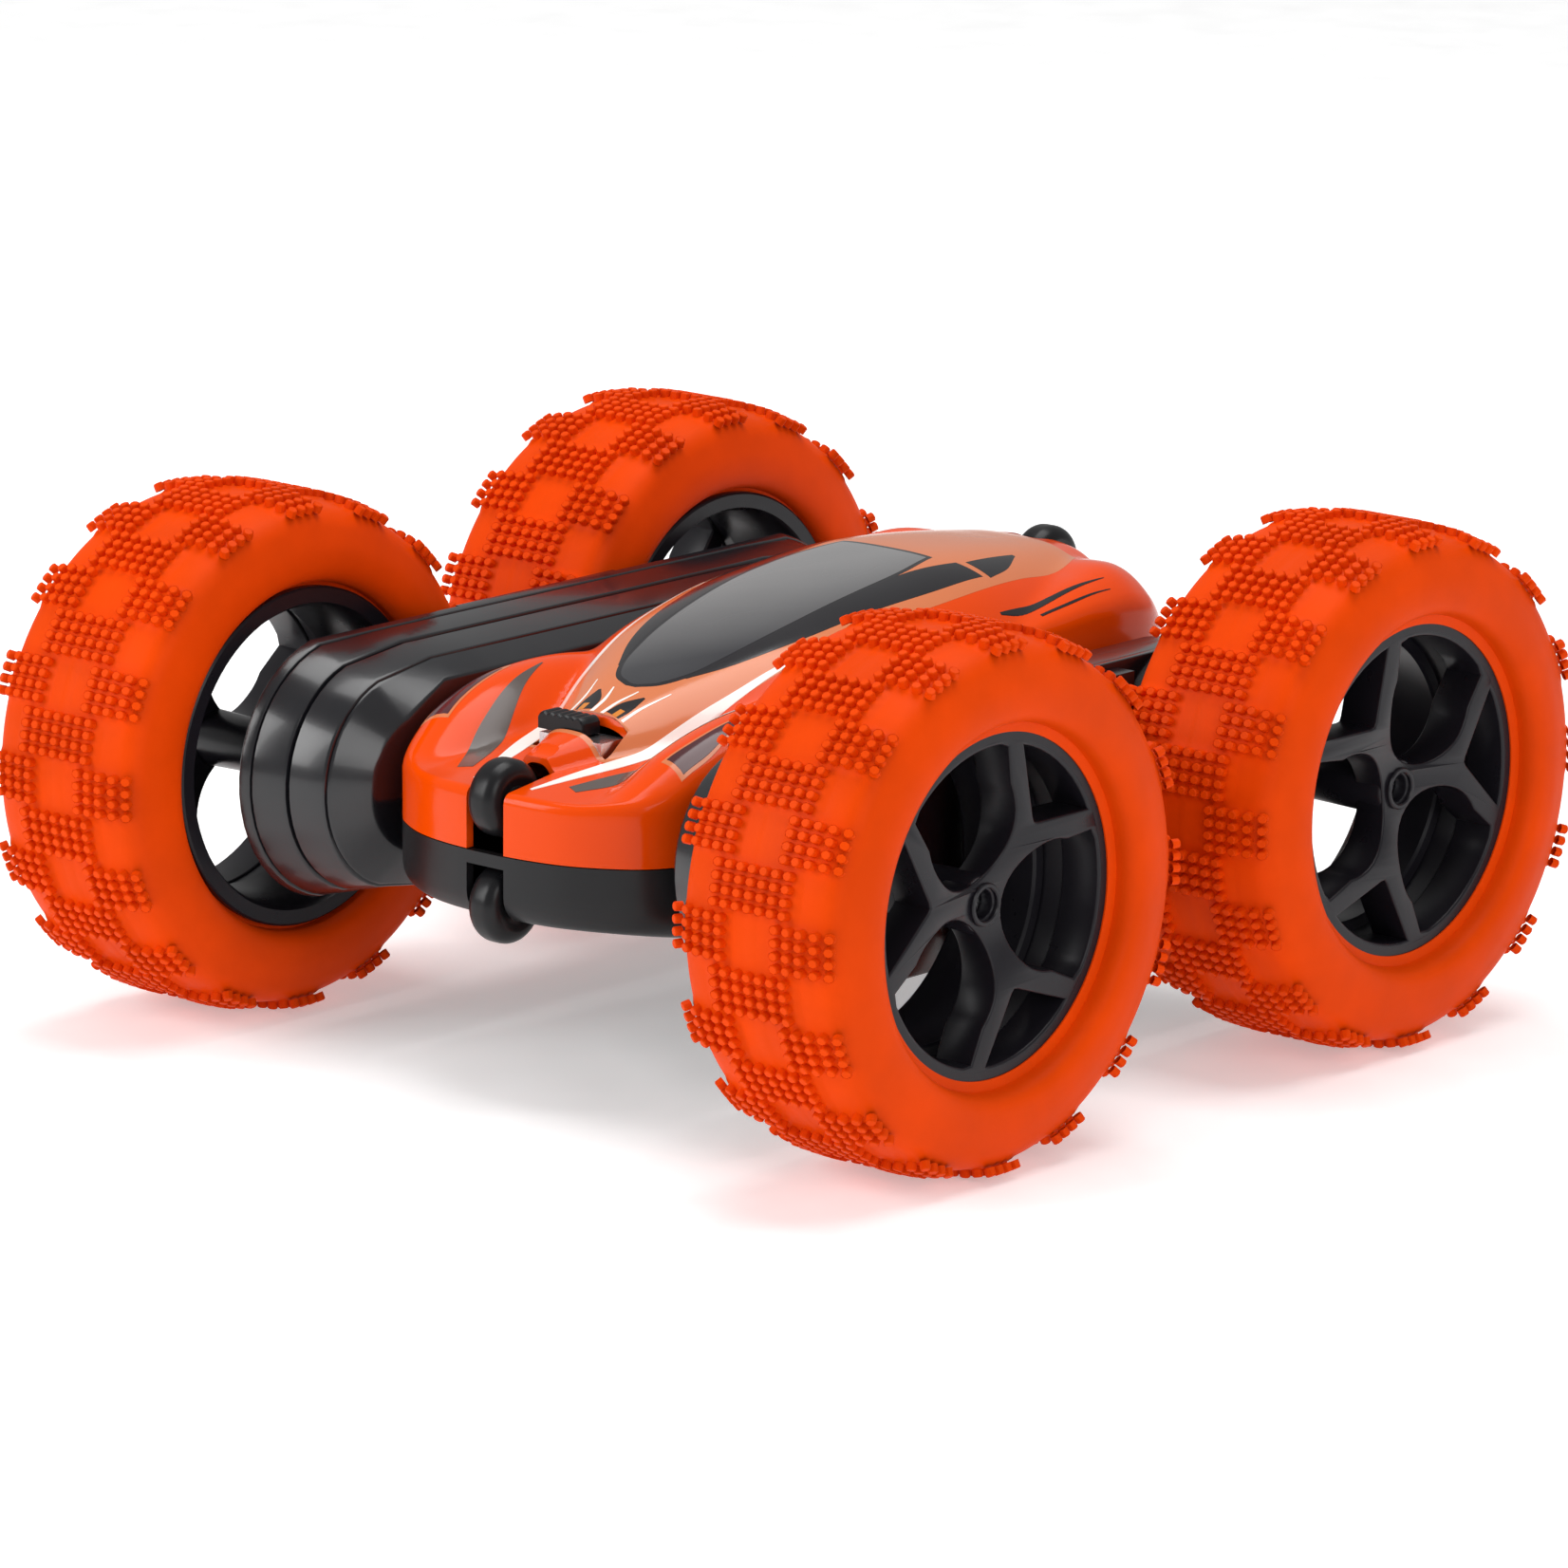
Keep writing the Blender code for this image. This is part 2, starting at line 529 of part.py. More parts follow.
def make_wheel(side, name, end, end_name):
    """Tyre, forked rim, axle and its screw; the rim's dish faces outwards."""
    y = end * HALF_BASE
    label = f"{name}_{end_name}"

    def outward(profile):
        return [(side * (HALF_TRACK + u), r) for u, r in profile]

    turned(label + "_tyre", outward(TYRE_PROFILE), y, AXLE_Z, "rubber", WHEEL_SEGS, ring=True)
    rim = turned(label + "_rim", outward(BARREL_PROFILE), y, AXLE_Z, "black_satin", WHEEL_SEGS, ring=True)
    plate = turned("tool", outward([(u, RIM_BORE_R + 0.5) for u in SPOKE_X]), y, AXLE_Z, "black_satin",
                   WHEEL_SEGS)
    step = 2 * math.pi / SPOKES
    phase = math.radians(SPOKE_PHASE[label])
    windows = []
    for i in range(SPOKES):
        windows.append(window_cutter(window_outline(), side, y, phase + (i + 0.5) * step))
        windows.append(window_cutter(fork_outline(), side, y, phase + i * step))
    combine(plate, windows)
    hub = turned("tool", outward([(HUB_X[0], HUB_R), (HUB_X[1], HUB_R)]), y, AXLE_Z, "black_satin", 16)
    combine(rim, [plate, hub], "UNION")
    bore = cutter_x(*side_x(side, HALF_TRACK - 12, HALF_TRACK + 12), y, AXLE_Z, AXLE_R + GAP, 12)
    head_seat = cutter_x(*side_x(side, HALF_TRACK + 5.6, HALF_TRACK + 12), y, AXLE_Z,
                         HEAD_SEAT_R, 12)
    combine(rim, [bore, head_seat])
    turned(label + "_axle", [(side * 29.0, AXLE_R - 0.3), (side * 29.3, AXLE_R), (side * 65.0, AXLE_R)],
           y, AXLE_Z, "steel", 12)
    turned(label + "_wheel_screw", outward([(3.5, 1.0), (5.9, 1.1), (5.9, 1.9), (6.9, 1.7), (7.2, 1.0)]),
           y, AXLE_Z, "steel", 12)


def main():
    """Clear the scene, then make the body, the rollers, the knob, and each side's arm and wheels."""
    for obj in list(bpy.data.objects):
        bpy.data.objects.remove(obj)
    make_body()
    make_rollers()
    make_switch_knob()
    for side, name in ((-1, "left"), (1, "right")):
        make_housings(side, name)
        make_train(side, name)
        for end, end_name in ((-1, "front"), (1, "rear")):
            make_wheel(side, name, end, end_name)


main()
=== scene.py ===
# %% [markdown]
# # A double-sided stunt car
#
# This toy has a slim glossy body between two swinging arms, and four big soft tyres. The packed
# CAD model fixes where every piece is and how it moves. The cells below rebuild the visible
# surfaces around it: rubber tread, forked rims, stepped arm housings, a moulded body with
# printed labels. Lengths are written in millimetres and turned into metres once, in mesh_piece.
# %% The fixed frame
import math

import bmesh
import bpy
import numpy as np
from mathutils import Matrix, Vector


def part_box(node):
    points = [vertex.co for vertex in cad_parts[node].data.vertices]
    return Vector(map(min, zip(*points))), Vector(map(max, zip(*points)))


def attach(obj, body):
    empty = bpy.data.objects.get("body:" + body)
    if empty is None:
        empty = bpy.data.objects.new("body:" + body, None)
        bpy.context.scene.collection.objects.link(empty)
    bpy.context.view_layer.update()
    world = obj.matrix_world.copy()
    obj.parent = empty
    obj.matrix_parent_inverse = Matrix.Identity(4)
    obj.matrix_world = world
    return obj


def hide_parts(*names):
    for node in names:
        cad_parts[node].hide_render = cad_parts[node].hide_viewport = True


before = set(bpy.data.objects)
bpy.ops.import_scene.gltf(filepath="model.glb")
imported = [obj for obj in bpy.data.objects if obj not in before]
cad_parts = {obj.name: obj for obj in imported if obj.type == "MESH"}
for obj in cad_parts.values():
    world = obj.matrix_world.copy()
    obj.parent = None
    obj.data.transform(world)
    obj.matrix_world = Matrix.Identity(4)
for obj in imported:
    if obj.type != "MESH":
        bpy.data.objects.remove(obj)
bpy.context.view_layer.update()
MM = 0.001
SIDES = {"left": -1, "right": 1}
ENDS = ("front", "rear")


def middle(node):
    low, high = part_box(node)
    return (low + high) / (2 * MM)


def extent(node):
    low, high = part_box(node)
    return (high - low) / MM


AXLE_Z = middle("right_front_tyre").z
HALF_BASE = abs(middle("right_front_tyre").y)
HALF_TRACK = abs(middle("right_front_tyre").x)
TREAD_R = extent("right_front_tyre").z / 2
print("wheels", round(HALF_TRACK, 2), round(HALF_BASE, 2), round(TREAD_R, 2))

# %% [markdown]
# ## The view
#
# A long lens from about 1.2 m, a little above the hood and off the car's right front corner,
# keeps the wheels nearly the same size. The camera is placed from its angles round a target.
# %% The camera
VIEW_AZIMUTH = math.radians(41.101)
VIEW_ELEVATION = math.radians(13.445)
VIEW_ROLL = math.radians(-0.428)
VIEW_DISTANCE = 1213.06
VIEW_TARGET = Vector((5.93, -7.81, 34.96))
VIEW_LENS = 206.7

flat = math.cos(VIEW_ELEVATION)
back = Vector((math.sin(VIEW_AZIMUTH) * flat, -math.cos(VIEW_AZIMUTH) * flat, math.sin(VIEW_ELEVATION)))
right = Vector((0, 0, 1)).cross(back).normalized()
up = back.cross(right)
turn = Matrix.Rotation(-VIEW_ROLL, 4, back)
camera = bpy.data.objects.new("camera", bpy.data.cameras.new("camera"))
axes = Matrix((right, up, back)).transposed().to_4x4()
camera.matrix_world = Matrix.Translation((VIEW_TARGET + back * VIEW_DISTANCE) * MM) @ turn @ axes
camera.data.lens = VIEW_LENS
camera.data.sensor_width = 36.0
camera.data.clip_end = 20.0
bpy.context.scene.collection.objects.link(camera)
bpy.context.scene.camera = camera
print("camera at", [round(v, 3) for v in camera.matrix_world.translation])

# %% [markdown]
# ## The studio
#
# A product table: a wide white floor, white surroundings, and large soft lamps. A glossy toy
# needs big lamps, because each lamp is seen again as a bright patch in the plastic.
# %% Floor, surroundings and lamps
scene = bpy.context.scene
scene.view_settings.view_transform = "Standard"
world = bpy.data.worlds.new("white_room")
world.use_nodes = True
world.node_tree.nodes["Background"].inputs["Color"].default_value = (1.0, 1.0, 1.0, 1)
seen_directly = world.node_tree.nodes.new("ShaderNodeLightPath").outputs["Is Camera Ray"]
brightness = world.node_tree.nodes.new("ShaderNodeMapRange")
brightness.inputs["To Min"].default_value = 0.42
brightness.inputs["To Max"].default_value = 1.0
world.node_tree.links.new(seen_directly, brightness.inputs["Value"])
world.node_tree.links.new(brightness.outputs[0], world.node_tree.nodes["Background"].inputs["Strength"])
scene.world = world


def area_lamp(name, place, aim, width, height, watts):
    data = bpy.data.lights.new(name, "AREA")
    data.shape = "RECTANGLE"
    data.size, data.size_y, data.energy = width, height, watts
    lamp = bpy.data.objects.new(name, data)
    lamp.location = place
    lamp.rotation_euler = (Vector(place) - Vector(aim)).to_track_quat("Z", "Y").to_euler()
    scene.collection.objects.link(lamp)


area_lamp("lamp_left", (-0.55, -0.95, 0.55), (0, 0, 0.04), 0.55, 0.7, 7.5)
area_lamp("lamp_top", (0.0, 0.15, 1.1), (0, 0, 0.04), 1.0, 0.7, 9.0)
area_lamp("lamp_right", (1.0, -0.45, 0.5), (0, 0, 0.04), 0.5, 0.6, 3.0)


# %% [markdown]
# ## Shader maths as Python
#
# Node trees are easier to read as expressions. A Wire is one node output that understands
# + - * /, and a Paint is a material that makes nodes by type, settings and inputs.
# %% Wire and Paint
class Wire:
    def __init__(self, paint, socket):
        self.paint, self.socket = paint, socket

    def math(self, operation, *values):
        return self.paint.node("ShaderNodeMath", {"operation": operation}, [self, *values])

    def __add__(self, other):
        return self.math("ADD", other)

    def __mul__(self, other):
        return self.math("MULTIPLY", other)

    def __sub__(self, other):
        return self.math("SUBTRACT", other)

    def __truediv__(self, other):
        return self.math("DIVIDE", other)

    def __rsub__(self, other):
        return self.paint.node("ShaderNodeMath", {"operation": "SUBTRACT"}, [other, self])

    __radd__ = __add__
    __rmul__ = __mul__

    def spread(self, low, high):
        """0 below low, 1 above high, straight between."""
        limits = {"Value": self, "From Min": low, "From Max": high}
        return self.paint.node("ShaderNodeMapRange", {"clamp": True}, limits)


class Paint:
    def __init__(self, name, colour, roughness, metallic=0.0, coat=0.0):
        self.material = bpy.data.materials.new(name)
        self.material.use_nodes = True
        self.tree = self.material.node_tree
        self.shader = self.tree.nodes["Principled BSDF"]
        self.set("Base Color", (*colour, 1))
        self.set("Roughness", roughness)
        self.set("Metallic", metallic)
        self.set("Coat Weight", coat)
        self.set("Coat Roughness", 0.06)

    def put(self, socket, value):
        if isinstance(value, Wire):
            self.tree.links.new(value.socket, socket)
        else:
            socket.default_value = value

    def set(self, name, value):
        self.put(self.shader.inputs[name], value)

    def node(self, kind, settings, inputs, output=0):
        made = self.tree.nodes.new(kind)
        for key, value in settings.items():
            setattr(made, key, value)
        for key, value in inputs.items() if isinstance(inputs, dict) else enumerate(inputs):
            self.put(made.inputs[key], value)
        return Wire(self, made.outputs[output])

    def place(self):
        return self.node("ShaderNodeTexCoord", {}, {}, output="Object")

    def axes(self):
        split = self.node("ShaderNodeSeparateXYZ", {}, [self.place()])
        return [Wire(self, socket) for socket in split.socket.node.outputs]

    def noise(self, per_metre, detail=3.0, vector=None):
        inputs = {"Vector": vector or self.place(), "Scale": per_metre, "Detail": detail}
        return self.node("ShaderNodeTexNoise", {}, inputs, output="Fac")

    def mix(self, factor, first, second):
        return self.node("ShaderNodeMix", {"data_type": "RGBA"}, {0: factor, 6: first, 7: second}, output=2)

    def bump(self, height, depth_mm, strength=1.0):
        inputs = {"Height": height, "Distance": depth_mm * MM, "Strength": strength}
        self.set("Normal", self.node("ShaderNodeBump", {}, inputs))


def scaled(colour, factor):
    return (*(min(1.0, c * factor) for c in colour), 1)


def moulded(name, colour, roughness, metallic=0.0, coat=0.0, grain_mm=0.012, vary=0.12):
    """Injection-moulded plastic: faint flow clouds, a fine spark-eroded grain, uneven polish."""
    paint = Paint(name, colour, roughness, metallic, coat)
    clouds = paint.noise(60.0, 2.0)
    paint.set("Base Color", paint.mix(clouds, scaled(colour, 1 - vary), scaled(colour, 1 + vary)))
    polish = paint.noise(220.0, 4.0)
    paint.set("Roughness", roughness + (polish - 0.5) * (0.5 * roughness))
    paint.bump(paint.noise(2600.0, 2.0), grain_mm, 0.6)
    return paint


print("shader helpers ready")

# %% [markdown]
# ## The finishes
#
# Real pieces of one colour still differ: the shell is polished, the tyre is soft and dull, the
# arms are glossy black and the rims satin black. Each finish is a small variation of moulded.
# %% Plastics, rubber and metal
ORANGE = (0.72, 0.058, 0.0004)
RUBBER = (0.70, 0.053, 0.0003)
shell_orange = moulded("shell_orange", ORANGE, 0.15, coat=0.05, grain_mm=0.002, vary=0.05)
shell_orange.set("Specular IOR Level", 0.14)
arm_black = moulded("arm_black", (0.007, 0.007, 0.009), 0.22, coat=0.15, grain_mm=0.003)
chassis_black = moulded("chassis_black", (0.010, 0.010, 0.011), 0.34, grain_mm=0.006)
rim_black = moulded("rim_black", (0.009, 0.008, 0.011), 0.30, grain_mm=0.006)
trim_black = moulded("trim_black", (0.007, 0.007, 0.008), 0.30, grain_mm=0.006)
gear_white = moulded("gear_white", (0.80, 0.79, 0.74), 0.42, vary=0.04)
cell_blue = moulded("cell_blue", (0.03, 0.13, 0.38), 0.28, coat=0.4)
board_green = moulded("board_green", (0.015, 0.16, 0.05), 0.38)
bright_steel = moulded("bright_steel", (0.62, 0.62, 0.64), 0.27, metallic=1.0)
for black in (chassis_black, rim_black, trim_black):
    black.set("Specular IOR Level", 0.24)


def rubber_paint():
    """Soft orange rubber: matt bloom in clouds, and a pebbled skin finer than the tread."""
    paint = Paint("tyre_rubber", RUBBER, 0.5)
    paint.set("Specular IOR Level", 0.05)
    bloom = paint.noise(90.0, 3.0)
    paint.set("Base Color", paint.mix(bloom.spread(0.35, 0.75), scaled(RUBBER, 0.93), scaled(RUBBER, 1.08)))
    paint.set("Roughness", 0.40 + bloom * 0.16)
    paint.bump(paint.noise(1500.0, 3.0) + paint.noise(300.0, 1.0) * 0.5, 0.03, 0.5)
    return paint


tyre_rubber = rubber_paint()
print("materials", len(bpy.data.materials))


# %% [markdown]
# ## From points to pieces
#
# Most surfaces here are skins over rings of points: a turned profile, a row of cross-sections,
# a strip. One function skins a list of rings, and one turns millimetre points into an object.
# %% Mesh helpers
def skin(rings, around=True, along=False, caps=False):
    """Faces over rings of equal length; around closes each ring, along closes the last to the first."""
    count = len(rings[0])
    verts = [point for ring in rings for point in ring]
    faces = []
    for r in range(len(rings) if along else len(rings) - 1):
        a, b = r * count, ((r + 1) % len(rings)) * count
        for i in range(count if around else count - 1):
            j = (i + 1) % count
            faces.append((a + i, a + j, b + j, b + i))
    if caps:
        faces.append(tuple(range(count))[::-1])
        faces.append(tuple(range(len(verts) - count, len(verts))))
    return verts, faces


def join(*shapes):
    verts, faces = [], []
    for more_verts, more_faces in shapes:
        faces += [tuple(i + len(verts) for i in face) for face in more_faces]
        verts += list(more_verts)
    return verts, faces


def mesh_piece(name, shape, paint, sharp=35.0, weld=True):
    """Object in metres from millimetre points, with outward faces and sharp creases."""
    verts, faces = shape
    mesh = bpy.data.meshes.new(name)
    mesh.from_pydata([Vector(v) * MM for v in verts], [], faces)
    bm = bmesh.new()
    bm.from_mesh(mesh)
    if weld:
        bmesh.ops.remove_doubles(bm, verts=bm.verts, dist=0.004 * MM)
        bmesh.ops.dissolve_degenerate(bm, edges=bm.edges, dist=0.002 * MM)
    bmesh.ops.recalc_face_normals(bm, faces=bm.faces)
    bm.to_mesh(mesh)
    bm.free()
    obj = bpy.data.objects.new(name, mesh)
    scene.collection.objects.link(obj)
    mesh.materials.append(paint.material)
    smooth(obj, sharp)
    return obj


def smooth(obj, sharp=35.0):
    obj.data.shade_smooth()
    obj.data.set_sharp_from_angle(angle=math.radians(sharp))


def bake(obj):
    """Replace the object's mesh by what its modifiers make, and take them off."""
    bpy.context.view_layer.update()
    seen = obj.evaluated_get(bpy.context.evaluated_depsgraph_get())
    mesh = bpy.data.meshes.new_from_object(seen)
    obj.modifiers.clear()
    obj.data = mesh


def cut(obj, shapes, operation="DIFFERENCE"):
    """Boolean with each shape in turn, in millimetres; stops if one of them eats the piece."""
    for number, shape in enumerate(shapes):
        before = len(obj.data.polygons)
        tool = mesh_piece(f"tool_{number}", shape, chassis_black)
        modifier = obj.modifiers.new("cut", "BOOLEAN")
        modifier.operation = operation
        modifier.object = tool
        bake(obj)
        bpy.data.objects.remove(tool)
        after = len(obj.data.polygons)
        if after < before / 2:
            raise RuntimeError(f"cut {number} emptied {obj.name}: {before} faces, then {after}")


def ring_x(x, y, z, radius, count):
    angles = np.linspace(0, 2 * np.pi, count, endpoint=False)
    return [(x, y + radius * math.cos(a), z + radius * math.sin(a)) for a in angles]


def turned(profile, centre, count=64):
    """Closed turned shape round an X axis; profile is a closed loop of (x offset, radius)."""
    x, y, z = centre
    return skin([ring_x(x + u, y, z, max(r, 0.001), count) for u, r in profile], along=True)


def bow(knots, values, query):
    """Smooth curve through the knots (Catmull-Rom slopes), read at the query values."""
    knots, values = np.asarray(knots, float), np.asarray(values, float)
    query = np.clip(query, knots[0], knots[-1])
    slopes = np.gradient(values, knots)
    i = np.clip(np.searchsorted(knots, query) - 1, 0, len(knots) - 2)
    width = knots[i + 1] - knots[i]
    t = (query - knots[i]) / width
    return ((2 * t ** 3 - 3 * t ** 2 + 1) * values[i] + (t ** 3 - 2 * t ** 2 + t) * width * slopes[i]
            + (3 * t ** 2 - 2 * t ** 3) * values[i + 1] + (t ** 3 - t ** 2) * width * slopes[i + 1])


def through(points, count):
    """Points along a smooth curve through the given points."""
    points = np.asarray(points, float)
    steps = np.r_[0, np.cumsum(np.maximum(np.linalg.norm(np.diff(points, axis=0), axis=1), 1e-6))]
    query = np.linspace(0, steps[-1], count)
    return np.stack([bow(steps, points[:, k], query) for k in range(points.shape[1])], axis=1)


def step(low, high, values):
    t = np.clip((np.asarray(values, float) - low) / (high - low), 0, 1)
    return t * t * (3 - 2 * t)


print("mesh helpers ready")

# %% [markdown]
# ## The tyre
#
# The tyre is a soft carcass with a nearly flat tread and a broad plain wall. Its grip is rows
# of small rubber pips on faintly raised pads: a row with two patches, one on each shoulder,
# then a row with one patch in the middle, sixteen times round. The carcass is a turned profile
# with the pads pressed into it as a smooth rise.
# %% The tyre carcass
PIP_HEIGHT = 1.0
CARCASS_R = TREAD_R - PIP_HEIGHT - 0.25
ROWS = 32
ROW_STEP = 2 * math.pi / ROWS
PAD_HALF_ANGLE = 0.088
SHOULDER_PATCH = 8.5
TREAD_FROM_R = 31.5

outer_wall = through([(0, CARCASS_R), (5.5, CARCASS_R - 0.05), (9.6, CARCASS_R - 0.45),
                      (11.7, CARCASS_R - 1.15), (12.9, CARCASS_R - 2.4), (13.6, 30.4), (14.05, 28.6),
                      (14.16, 27.0), (14.05, 25.8), (13.6, 24.8), (12.7, 24.2), (11.2, 23.9)], 36)
tyre_profile = [(u, r) for u, r in outer_wall] + [(10.9, 22.6), (-11.6, 22.6)]
tyre_profile += [(-u, r) for u, r in outer_wall[:0:-1]]


def pad_rise(angle, u):
    """Height in mm of the raised pads at this angle and distance across the tread."""
    nearest = round(angle / ROW_STEP)
    across = abs(angle - nearest * ROW_STEP)
    within = 1 - step(PAD_HALF_ANGLE - 0.012, PAD_HALF_ANGLE + 0.012, across)
    if nearest % 2:
        patch = 1 - step(6.9, 7.6, abs(u))
    else:
        patch = step(3.6, 4.2, abs(u)) * (1 - step(12.2, 13.0, abs(u)))
    return 0.28 * float(within) * float(patch)


def carcass(centre, count=256):
    """Tyre skin round the axle, with the pads and a fine mould seam raised on the tread."""
    rings = []
    for k in range(count):
        a = 2 * math.pi * k / count
        ring = []
        for u, r in tyre_profile:
            if r > TREAD_FROM_R:
                r = r + pad_rise(a, u) + 0.12 * math.exp(-(u / 0.22) ** 2)
            ring.append((centre[0] + u, centre[1] + r * math.cos(a), centre[2] + r * math.sin(a)))
        rings.append(ring)
    return skin(rings, along=True)


# %% [markdown]
# The pips repeat about a thousand times on a tyre, so Geometry Nodes place them: a mesh of bare
# points carries each pip's outward direction, and the tree puts one small rounded stud on each,
# turned so that its long side lies across the tread.
# %% The pips, by Geometry Nodes
def pip_places(centre):
    """Feet and outward directions of all pips on one tyre, in millimetres."""
    feet, outward = [], []
    across_pitch, along_pitch = 1.93, 1.70
    shoulder_columns = [SHOULDER_PATCH + across_pitch * (i - 2) for i in range(5)]
    centre_columns = [across_pitch * (i - 3) for i in range(7)]
    for row in range(ROWS):
        columns = centre_columns if row % 2 else shoulder_columns + [-u for u in shoulder_columns]
        for line in range(4):
            a = row * ROW_STEP + (line - 1.5) * along_pitch / TREAD_R
            for u in columns:
                r = float(np.interp(abs(u), *outer_wall[:18].T)) + 0.1
                lean = max(0.0, abs(u) - 9.0) * 0.16 * (1 if u > 0 else -1)
                feet.append((centre[0] + u, centre[1] + r * math.cos(a), centre[2] + r * math.sin(a)))
                outward.append(Vector((lean, math.cos(a), math.sin(a))).normalized())
    return feet, outward


def pip_tree(paint):
    """Geometry Nodes: one stud on every point, tops rounded in two steps."""
    tree = bpy.data.node_groups.new("tread_pips", "GeometryNodeTree")
    tree.interface.new_socket("Geometry", in_out="INPUT", socket_type="NodeSocketGeometry")
    for title in ("Pip Width", "Pip Length", "Pip Height"):
        tree.interface.new_socket(title, in_out="INPUT", socket_type="NodeSocketFloat")
    tree.interface.new_socket("Geometry", in_out="OUTPUT", socket_type="NodeSocketGeometry")
    new, link = tree.nodes.new, tree.links.new
    entry, exit_node = new("NodeGroupInput"), new("NodeGroupOutput")
    circle = new("GeometryNodeMeshCircle")
    circle.fill_type = "NGON"
    circle.inputs["Vertices"].default_value = 8
    circle.inputs["Radius"].default_value = 0.5
    shape = circle.outputs["Mesh"]
    for share, shrink in ((0.82, 0.95), (0.18, 0.78)):
        rise = new("ShaderNodeMath")
        rise.operation = "MULTIPLY"
        link(entry.outputs["Pip Height"], rise.inputs[0])
        rise.inputs[1].default_value = share
        extrude = new("GeometryNodeExtrudeMesh")
        link(shape, extrude.inputs["Mesh"])
        link(rise.outputs[0], extrude.inputs["Offset Scale"])
        shrinker = new("GeometryNodeScaleElements")
        link(extrude.outputs["Mesh"], shrinker.inputs["Geometry"])
        link(extrude.outputs["Top"], shrinker.inputs["Selection"])
        shrinker.inputs["Scale"].default_value = shrink
        shape = shrinker.outputs["Geometry"]
    size = new("ShaderNodeCombineXYZ")
    link(entry.outputs["Pip Width"], size.inputs[0])
    link(entry.outputs["Pip Length"], size.inputs[1])
    size.inputs[2].default_value = 1.0
    direction = new("GeometryNodeInputNamedAttribute")
    direction.data_type = "FLOAT_VECTOR"
    direction.inputs["Name"].default_value = "outward"
    turn_node = new("FunctionNodeAxesToRotation")
    turn_node.primary_axis, turn_node.secondary_axis = "Z", "X"
    link(direction.outputs["Attribute"], turn_node.inputs["Primary Axis"])
    turn_node.inputs["Secondary Axis"].default_value = (1, 0, 0)
    place = new("GeometryNodeInstanceOnPoints")
    link(entry.outputs["Geometry"], place.inputs["Points"])
    link(shape, place.inputs["Instance"])
    link(turn_node.outputs["Rotation"], place.inputs["Rotation"])
    link(size.outputs[0], place.inputs["Scale"])
    realize = new("GeometryNodeRealizeInstances")
    link(place.outputs["Instances"], realize.inputs["Geometry"])
    dress = new("GeometryNodeSetMaterial")
    dress.inputs["Material"].default_value = paint.material
    link(realize.outputs["Geometry"], dress.inputs["Geometry"])
    link(dress.outputs["Geometry"], exit_node.inputs["Geometry"])
    return tree


pips_group = pip_tree(tyre_rubber)
PIP_SIZES = {"Pip Width": 1.56 * MM, "Pip Length": 1.34 * MM, "Pip Height": PIP_HEIGHT * MM + 0.12 * MM}


def grow(obj, group, sizes):
    """Run a node group on an object with these named sizes, and keep the plain mesh."""
    modifier = obj.modifiers.new("grow", "NODES")
    modifier.node_group = group
    for item in group.interface.items_tree:
        if item.in_out == "INPUT" and item.name in sizes:
            modifier[item.identifier] = sizes[item.name]
    bake(obj)
    return obj


def tread_pips(name, centre):
    feet, outward = pip_places(centre)
    mesh = bpy.data.meshes.new(name)
    mesh.from_pydata([Vector(p) * MM for p in feet], [], [])
    attribute = mesh.attributes.new("outward", "FLOAT_VECTOR", "POINT")
    attribute.data.foreach_set("vector", np.array(outward, np.float32).ravel())
    obj = bpy.data.objects.new(name, mesh)
    scene.collection.objects.link(obj)
    grow(obj, pips_group, PIP_SIZES)
    smooth(obj, 50)
    return obj


for side in SIDES:
    for end in ENDS:
        label = f"{side}_{end}"
        centre = middle(label + "_tyre")
        tyre = mesh_piece(label + "_tyre_carcass", carcass(centre), tyre_rubber, 60)
        pips = tread_pips(label + "_tread_pips", centre)
        for piece in (tyre, pips):
            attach(piece, label + "_wheel")
        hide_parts(label + "_tyre")
        print(label, "tyre", len(tyre.data.polygons), "faces, pips", len(pips.data.polygons))

# %% [markdown]
# ## The rim
#
# The rim is one satin black moulding: a deep barrel, a small hub, and three spokes that each
# fork in two on the way out. Seen the other way, it is a disc with three large rounded windows
# and three small triangles between the forks, so a filled curve with holes draws it, and its
# own bevel rounds every edge.
# %% Spokes, barrel and hub
SPOKES = 3
SPOKE_PHASE = {"left_front": 114.0, "left_rear": 128.0, "right_front": 50.6, "right_rear": 128.0}
FACE_U = extent("right_front_rim").x - 12.36
RIM_R = extent("right_front_rim").z / 2
BARREL_R = 21.3
PLATE_DEPTH = 6.2


def arc(radius, start, end, count, centre=0.0):
    """Points (outwards, across) along an arc, with its angles in degrees."""
    angles = np.radians(np.linspace(start, end, count))
    return [(centre + radius * math.cos(a), radius * math.sin(a)) for a in angles]


def circle(radius, count):
    angles = np.linspace(0, 2 * math.pi, count, endpoint=False)
    return [(radius * math.cos(a), radius * math.sin(a)) for a in angles]


def window_outline():
    """Large window: round near the hub, spreading towards the barrel."""
    inner = arc(8.9, 82, 278, 24, centre=12.1)
    outer = arc(BARREL_R, -28.2, 28.2, 14)
    outer[0] = (outer[0][0] - 0.5, outer[0][1])
    outer[-1] = (outer[-1][0] - 0.5, outer[-1][1])
    return inner + outer


def fork_outline():
    """Small triangle between the two arms of a spoke."""
    return [(12.6, -0.8), *arc(BARREL_R, -25.2, 25.2, 10), (12.6, 0.8), (12.2, 0.0)]


